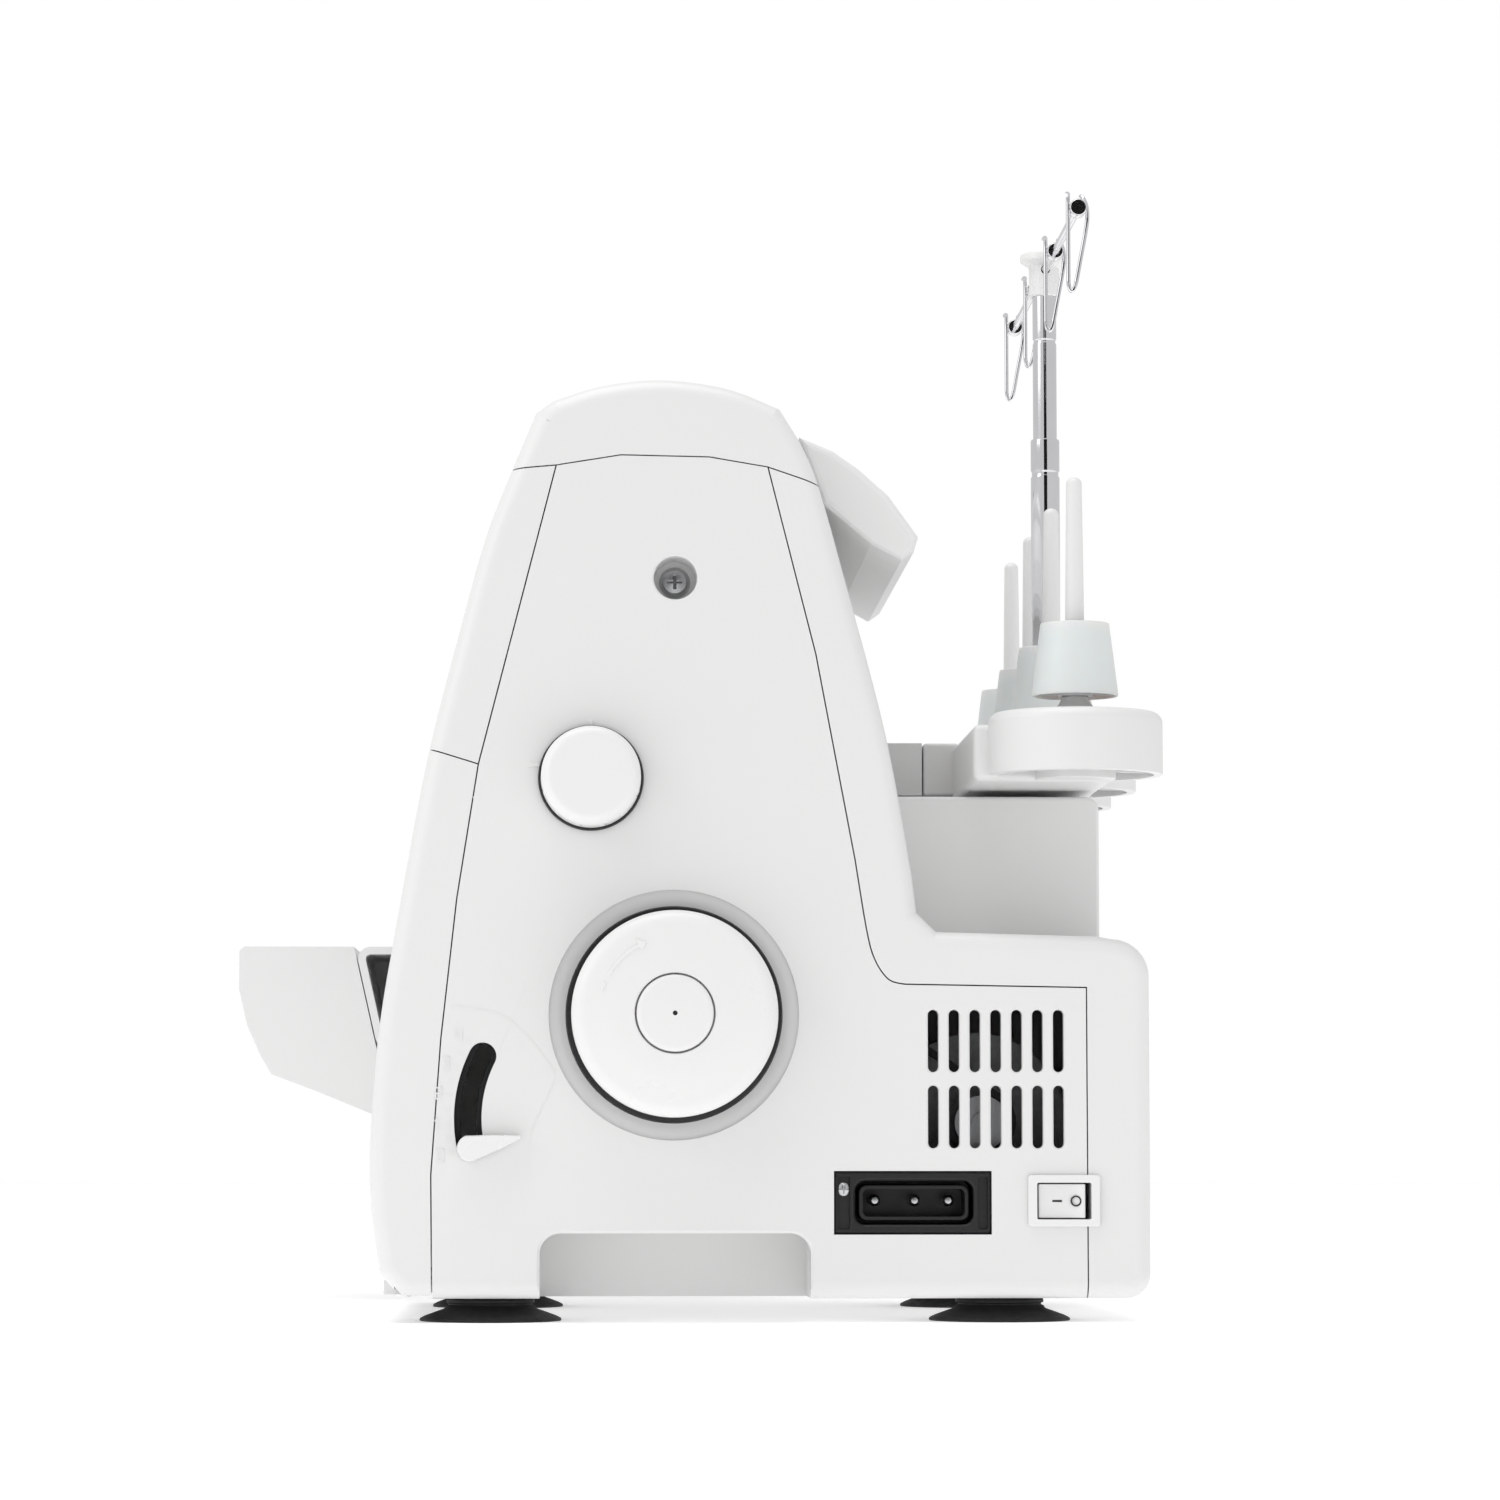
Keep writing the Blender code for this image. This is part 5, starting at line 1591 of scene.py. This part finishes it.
@dataclass
class FeedLever:
    """The differential feed lever: a drop-shaped pull over a curved slot, with its scale."""

    y: float = 7.1
    z: float = 59.2
    radius: float = 40.0
    rest: float = 192.6
    figures: str = "01234"

    def build(self) -> None:
        """Make the lever, its slot's liner and the scale."""
        centre = (self.y, self.z)
        ky, kz = arc(centre, self.radius, self.rest, self.rest, 1)[0]
        inward = Vector((self.y - ky, self.z - kz)).normalized()
        side = Vector((-inward.y, inward.x))
        back = math.degrees(math.atan2(-inward.y, -inward.x))
        tail = arc((ky, kz), 3.9, back - 80, back + 80, 14)
        tip = Vector((ky, kz)) + inward * 15.0
        waist = [tuple(Vector((ky, kz)) + inward * 7.5 + side * s * 2.3) for s in (-1, 1)]
        point = [tuple(tip - side * 0.45), tuple(tip + side * 0.45)]
        drop = [*tail, waist[0], *point, waist[1]]
        if sum(a[0] * b[1] - b[0] * a[1] for a, b in zip(drop, drop[1:] + drop[:1])) < 0:
            drop.reverse()
        pull = lofted(drop, [(0.3, 0.7), (0.0, 1.0), (0.0, 5.2), (0.25, 5.8), (0.38, 6.0)])
        stem = rod((-14.0, ky, kz), (2.0, ky, kz), 1.8)
        hub = rod((-15.0, self.y, self.z), (-11.0, self.y, self.z), 6.0, 48)
        arm_side = side * 3.0
        arm = [
            Vector(centre) - arm_side, Vector(centre) + arm_side, Vector((ky, kz)) + arm_side,
            Vector((ky, kz)) - arm_side,
        ]
        lever = hub.join(plate([tuple(p) for p in arm], -14.6, -11.4), stem, pull)
        lever.dress("feed_pull", Finish.KNOB, "feed_lever", ["feed_lever"], soften=0.25)
        liner = plate(
            band(centre, self.radius - 5.4, self.radius + 5.4, 145.5, 197.5, 24), -7.2, -2.7,
        )
        liner.cut(
            plate(band(centre, self.radius - 4.4, self.radius + 4.4, 147.0, 196.4, 24), -6.4, 0.0),
            plate(band(centre, self.radius - 2.4, self.radius + 2.4, 148.5, 195.0, 24), -9.0, 0.0),
        )
        liner.dress("slot_liner", Finish.BLACK, soften=0.1)
        marks = []
        for step, sign in enumerate(self.figures):
            angle = self.rest - 42.0 * step / (len(self.figures) - 1)
            my, mz = arc(centre, self.radius + 9.0, angle, angle, 1)[0]
            marks += glyph(sign, on_axis(my, mz), 3.2, 0.45, 0.22)
        for step in range(9):
            angle = math.radians(self.rest - 42.0 * step / 8)
            along = Vector((math.cos(angle), math.sin(angle)))
            across = Vector((-along.y, along.x)) * 0.22
            near, far = (Vector(centre) + along * d for d in (self.radius + 5.2, self.radius + 6.6))
            marks.append(
                on_panel(
                    [tuple(p) for p in (near - across, near + across, far + across, far - across)],
                    0.2,
                )
            )
        gathered(marks).dress("feed_scale", Finish.SHELL)
        edge = [
            (-37.6, 92.0), (-22.0, 88.6), (-10.0, 76.0), (-8.0, 70.0), (-14.0, 56.0),
            (-15.4, 44.0), (-16.4, 40.6),
        ]
        line = smooth(edge, 5)
        ridge = line + [(p[0] - 0.35, p[1] - 0.3) for p in reversed(line)]
        on_panel(ridge, 0.12).dress("feed_field_ridge", Finish.SHELL)


# ---- thread stand ----------------------------------------------------------------
@dataclass
class ThreadStand:
    """Spool stand, pins, cone adapters and the telescopic mast with its guides."""

    pin_x: tuple[float, ...] = (-20.0, -90.0, -160.0, -230.0)
    pin_y: float = 146.3
    disc: tuple[float, float, float] = (25.85, 160.7, 179.3)  # radius, lower and upper level
    pin_top: float = 250.0
    cone: tuple[float, float, float, float] = (184.3, 206.0, 12.85, 10.3)  # levels and radii
    mast: Point = (-125.0, 147.9)
    bar_z: float = 331.2
    guide_z: Span = (305.5, 335.5)
    wire: float = 0.65

    def stand(self) -> None:
        """The dished discs on their bar, with ribs underneath."""
        radius, low, high = self.disc
        bar = box((self.pin_x[3], self.pin_x[0]), (116.0, 158.0), (159.0, 176.0))
        bar.ease(2.0, steep(), 4)
        lip = [
            (radius - 3.2 * (1 - math.sin(a)), high - 3.2 * (1 - math.cos(a)))
            for a in (math.radians(15 * k) for k in range(7))
        ]
        profile = [(0.0, high + 0.3), (radius - 7.0, high + 0.15)] + lip
        profile += [
            (radius, low + 0.3), (radius - 0.3, low), (radius - 2.6, low),
            (radius - 2.8, low + 0.3),
        ]
        profile += [
            (radius - 3.0, high - 4.0), (12.0, high - 4.0), (12.0, low - 0.9), (11.7, low - 1.2),
            (0.0, low - 1.2),
        ]
        discs = [turned(profile, (x, self.pin_y, 0.0), (0, 0, 1), 96) for x in self.pin_x]
        ribs = []
        for x in self.pin_x:
            for turn in range(8):
                rib = box((11.0, radius - 2.0), (-0.8, 0.8), (low + 1.5, high - 3.0))
                ribs.append(
                    rib.move(
                        Matrix.Translation((x, self.pin_y, 0.0)) @ Matrix.Rotation(
                            math.radians(22.5 + 45 * turn), 4, "Z",
                        )
                    )
                )
        bar.dress("tray_beam", Finish.SHELL)
        seat = box((-150, -100), (106.7, 118.0), (160.6, 177.0)).ease(1.0, steep(), 3)
        seat.dress("tray_seat", Finish.SHELL)
        gathered(ribs).dress("tray_ribs", Finish.SHELL, soften=0.2)
        gathered(discs).dress("spool_tray", Finish.SHELL, stands_for=["spool_stand"], crease=50.0)

    def spools(self) -> None:
        """Pins with their flanges, and the finned cone adapters that drop over them."""
        high = self.disc[2]
        low, top, wide, narrow = self.cone
        for number, x in enumerate(self.pin_x, 1):
            centre = (x, self.pin_y, 0.0)
            dome = [
                (2.35 * math.sin(a), self.pin_top - 2.0 * (1 - math.cos(a)))
                for a in (math.radians(15 * k) for k in range(6))
            ]
            pin = [
                *dome, (2.35, self.pin_top - 2.0), (3.1, 184.2), (3.7, 184.0), (4.6, 182.4),
                (6.0, high + 1.1), (6.5, high + 0.7),
            ]
            pin += [(2.5, high + 0.7), (2.5, high - 5.5), (0.0, high - 5.5)]
            turned(pin, centre, (0, 0, 1), 64).dress(
                f"pin_{number}", Finish.SHELL, stands_for=[f"spool_pin_{number}"],
            )
            skirt = [
                (narrow - 1.0, top - 0.6), (narrow - 0.8, top), (narrow - 0.2, top),
                (narrow, top - 0.5),
            ]
            skirt += [
                (wide, low + 0.6), (wide - 0.2, low), (wide - 0.9, low), (wide - 1.2, low + 0.5),
            ]
            sleeve = turned([(4.1, low), (4.1, top), (4.9, top), (5.2, low)], centre, (0, 0, 1), 64)
            web = turned(
                [
                    (5.0, top - 2.6), (narrow - 0.6, top - 2.6), (narrow - 0.6, top - 1.6),
                    (4.6, top - 1.6),
                ],
                centre, (0, 0, 1), 64,
            )
            fins = []
            for turn in range(8):
                fin = plate(
                    [
                        (4.7, low + 0.6), (wide - 0.6, low + 0.6), (narrow - 0.6, top - 1.2),
                        (4.7, top - 1.2),
                    ],
                    -0.35, 0.35, Plane.XZ,
                )
                fins.append(
                    fin.move(
                        Matrix.Translation(centre) @ Matrix.Rotation(
                            math.radians(45 * turn + 12), 4, "Z",
                        )
                    )
                )
            cone = turned(skirt, centre, (0, 0, 1), 96).join(sleeve, web, *fins)
            cone.dress(
                f"cone_{number}", Finish.CONE, f"cone_adapter_{number}",
                [f"cone_adapter_{number}"], soften=0.12,
            )

    def tubes(self) -> None:
        """Mast tubes with their crimped rings, and the cap."""
        centre = (*self.mast, 0.0)
        crimps = [
            (4.6, z + dz) if not pinch else (4.25, z + dz)
            for z in (203.0, 265.6) for dz,
            pinch in ((-1.2, 0), (-0.6, 1), (0.6, 1), (1.2, 0))
        ]
        outer = [
            (4.6, 166.9), *crimps, (4.6, 276.2), (4.4, 276.7), (4.05, 276.7), (4.05, 166.5),
            (4.4, 166.5),
        ]
        turned(outer, centre, (0, 0, 1), 64).dress(
            "mast_sleeve", Finish.CHROME, stands_for=["mast_lower_tube"], crease=60.0,
        )
        inner = [(0.0, 212.0), (3.4, 212.0), (3.8, 212.6)]
        inner += [
            (3.8, 307.6), (3.5, 308.1), (3.5, 308.9), (3.8, 309.4), (3.8, 328.6), (3.4, 329.0),
            (0.0, 329.0),
        ]
        turned(inner, centre, (0, 0, 1), 64).dress(
            "mast_rod", Finish.CHROME, "mast_upper_tube", ["mast_upper_tube"], crease=60.0,
        )
        cap = [
            (0.0, 336.9), (6.9, 336.9), (7.4, 336.7), (7.7, 336.2), (7.7, 334.6), (7.4, 334.2),
            (5.4, 332.9), (4.9, 332.2),
        ]
        cap += [(4.9, 323.4), (4.6, 323.0), (3.95, 323.0), (3.95, 329.3), (0.0, 329.3)]
        top = turned(cap, centre, (0, 0, 1), 64)
        x, y = self.mast
        top.cut(rod((x - 20, y, self.bar_z), (x + 20, y, self.bar_z), 1.45))
        top.dress("guide_cap", Finish.KNOB, "thread_guides", ["mast_cap"], soften=0.15)

    def guides(self) -> None:
        """The cross bar and its open wire loops."""
        y, z = self.mast[1], self.bar_z
        ends = (self.pin_x[3] - 2, self.pin_x[0] + 2)
        parts = [
            turned(
                [(0.0, 0.0), (0.9, 0.0), (1.2, 0.4), (1.2, 213.6), (0.9, 214.0), (0.0, 214.0)],
                (ends[0], y, z), (1, 0, 0), 32,
            )
        ]
        low, high = self.guide_z
        for x in self.pin_x:
            route = [
                (
                    x + 1.9, 144.2, high - 0.6,
                ), (x + 0.6, 144.8, high), (x, 145.0, high - 2.4), (x, 145.0, low + 7), (x, 145.1, low + 2.6),
                (x, 145.9, low + 0.7), (x, 147.1, low + 2.4), (x, 148.6, low + 10),
                (x, 150.6, high - 9), (x, 150.6, high - 4),
                (x - 0.6, 149.7, high - 1.2), (x - 1.9, 149.0, high - 0.2),
            ]
            curve = [tuple(a) for a in self.curve(route)]
            parts.append(swept(curve, self.wire))
            collar = [(0.0, -2.6), (2.2, -2.6), (2.6, -2.2), (2.6, 2.2), (2.2, 2.6), (0.0, 2.6)]
            parts.append(turned(collar, (x, y, z), (1, 0, 0), 32))
        gathered(parts).dress(
            "guide_wires", Finish.CHROME, "thread_guides", ["thread_guide_bar"], crease=60.0,
        )

    @staticmethod
    def curve(route: Sequence[Place], steps: int = 6) -> list[Place]:
        """A smooth curve through points in space.

        Args:
            route: The points.
            steps: Chords between neighbours.

        Returns:
            The curve's points.
        """
        flat = [smooth([(p[0], p[axis]) for p in route], steps) for axis in (1, 2)]
        return [(a[0], a[1], b[1]) for a, b in zip(*flat)]

    def build(self) -> None:
        """Make the whole thread stand."""
        self.stand()
        self.spools()
        self.tubes()
        self.guides()


# ---- base fittings ---------------------------------------------------------------
@dataclass
class Feet:
    """Four suction feet with ribbed necks."""

    x: Span = (-25.0, -154.0)
    y: Span = (-26.5, 123.4)

    def build(self) -> None:
        """Make each foot."""
        profile = [
            (0.0, 14.0), (2.6, 14.0), (3.0, 13.6), (3.0, 6.7), (12.4, 6.7), (13.0, 6.2),
            (13.0, 5.4), (12.3, 5.1), (12.3, 4.7),
        ]
        profile += [
            (13.0, 4.4), (13.6, 3.6), (16.2, 2.7), (19.2, 1.6), (20.6, 0.9), (20.9, 0.4),
            (20.6, 0.0), (0.0, 0.0),
        ]
        places = [(x, y) for x in self.x for y in self.y]
        for number, (x, y) in enumerate(places, 1):
            foot = turned(profile, (x, y, 0.0), (0, 0, 1), 96)
            foot.dress(
                f"suction_foot_{number}", Finish.RUBBER, stands_for=[f"foot_{number}"], crease=50.0,
            )


@dataclass
class PowerFittings:
    """The mains inlet with its clip screw, and the rocker switch."""

    pins: tuple[float, ...] = (85.4, 97.0, 106.8)
    pin_z: float = 35.3
    switch_y: Span = (129.7, 150.7)
    switch_z: Span = (27.8, 42.8)
    tilt: float = -6.0

    def inlet(self) -> None:
        """The black socket with its shroud, pins and clip screw."""
        body = lofted(
            rectangle((73.6, 118.9), (25.8, 43.6), 0.8, 4),
            [(0.0, -22.0), (0.0, -1.2), (0.4, -0.8)],
        )
        body.cut(
            lofted(
                rectangle((79.4, 113.9), (28.4, 41.0), 3.0, 6),
                [(0.0, -15.0), (0.0, -1.4), (-0.7, -0.7), (-0.7, 1.0)],
            ),
            plate(rectangle((74.4, 78.0), (27.0, 42.4), 0.8, 3), -2.2, 1.0),
            plate(rectangle((115.3, 118.1), (27.0, 42.4), 0.8, 3), -2.2, 1.0),
        )
        shroud = lofted(
            rectangle((80.6, 112.7), (29.5, 39.9), 2.4, 6),
            [(0.0, -16.0), (0.0, -2.6), (0.3, -2.3)],
        )
        shroud.cut(plate(rectangle((81.8, 111.5), (30.7, 38.7), 1.6, 6), -14.4, 1.0))
        body.join(shroud)
        body.dress("mains_socket", Finish.BLACK, stands_for=["power_inlet"], soften=0.15)
        pins = [
            turned(
                [(0.0, -4.0), (0.9, -4.1), (1.6, -4.9), (1.7, -5.6), (1.7, -15.5), (0.0, -15.5)],
                (0.0, y, self.pin_z), (1, 0, 0), 32,
            )
            for y in self.pins
        ]
        gathered(pins).dress("socket_pins", Finish.STEEL)
        head = turned(
            [(0.0, -0.9), (1.2, -1.0), (1.9, -1.5), (1.9, -2.3), (0.0, -2.3)], (0.0, 76.2, 38.6),
            (1, 0, 0), 32,
        )
        head.cut(
            box((-1.5, 0), (75.0, 77.4), (38.4, 38.8)), box((-1.5, 0), (76.0, 76.4), (37.4, 39.8)),
        )
        head.dress("socket_screw", Finish.STEEL)

    def rocker(self) -> None:
        """The rocker with its printed on and off marks, and its bezel."""
        y, z = self.switch_y, self.switch_z
        bezel = lofted(rectangle(y, z, 0.9, 4), [(0.0, 0.3), (0.0, 1.1), (0.15, 1.4), (0.4, 1.5)])
        bezel.join(box((-23.0, 0.8), (y[0] + 1.3, y[1] - 1.3), (z[0] + 1.3, z[1] - 1.3)))
        bezel.cut(
            plate(rectangle((y[0] + 2.6, y[1] - 2.6), (z[0] + 2.1, z[1] - 2.3), 0.5, 3), -20.0, 5.0)
        )
        bezel.dress("rocker_bezel", Finish.KNOB, stands_for=["switch_bezel"], soften=0.1)
        middle = (y[0] + y[1]) / 2
        low, high = z[0] + 2.5, z[1] - 2.7
        pivot = Vector((-6.0, middle, (low + high) / 2))
        bow = [(1.6 + 1.0 * (t / 6.8) ** 2, t) for t in (6.3, 5, 3.5, 2, 0, -2, -3.5, -5, -6.3)]
        outline = [(-6.6, 6.8), (2.2, 6.8), *bow, (2.2, -6.8), (-6.6, -6.8), (-8.0, 0.0)]
        place = Matrix.Translation(pivot)
        tilt = place @ Matrix.Rotation(math.radians(self.tilt), 4, "Z") @ place.inverted()
        rocker = plate(
            [(pivot.x + a + 4, pivot.y + b) for a, b in outline], low, high, Plane.XY,
        ).move(tilt)
        rocker.dress("rocker_key", Finish.KNOB, "power_rocker", ["power_rocker"], soften=0.3)
        ring = plate(arc((144.3, 35.2), 1.6, 0, 351, 40), -0.6, 0.36)
        ring.cut(plate(arc((144.3, 35.2), 1.15, 0, 351, 40), -3.0, 2.0))
        dash = plate(rectangle((137.0, 140.2), (34.9, 35.5)), -1.0, -0.22)
        gathered([ring.move(tilt), dash.move(tilt)]).dress(
            "rocker_marks", Finish.PRINT, "power_rocker",
        )

    def build(self) -> None:
        """Make the fittings."""
        self.inlet()
        self.rocker()


def main() -> None:
    """Build every sub-assembly."""
    logging.basicConfig(level=logging.INFO, format="%(name)s: %(message)s")
    Studio().build()
    for part in (
        Covers(), Handwheel(), LengthDial(), FeedLever(), ThreadStand(), Feet(), PowerFittings(),
    ):
        part.build()
    CarriedOver().dress()


if __name__ == "__main__":
    main()
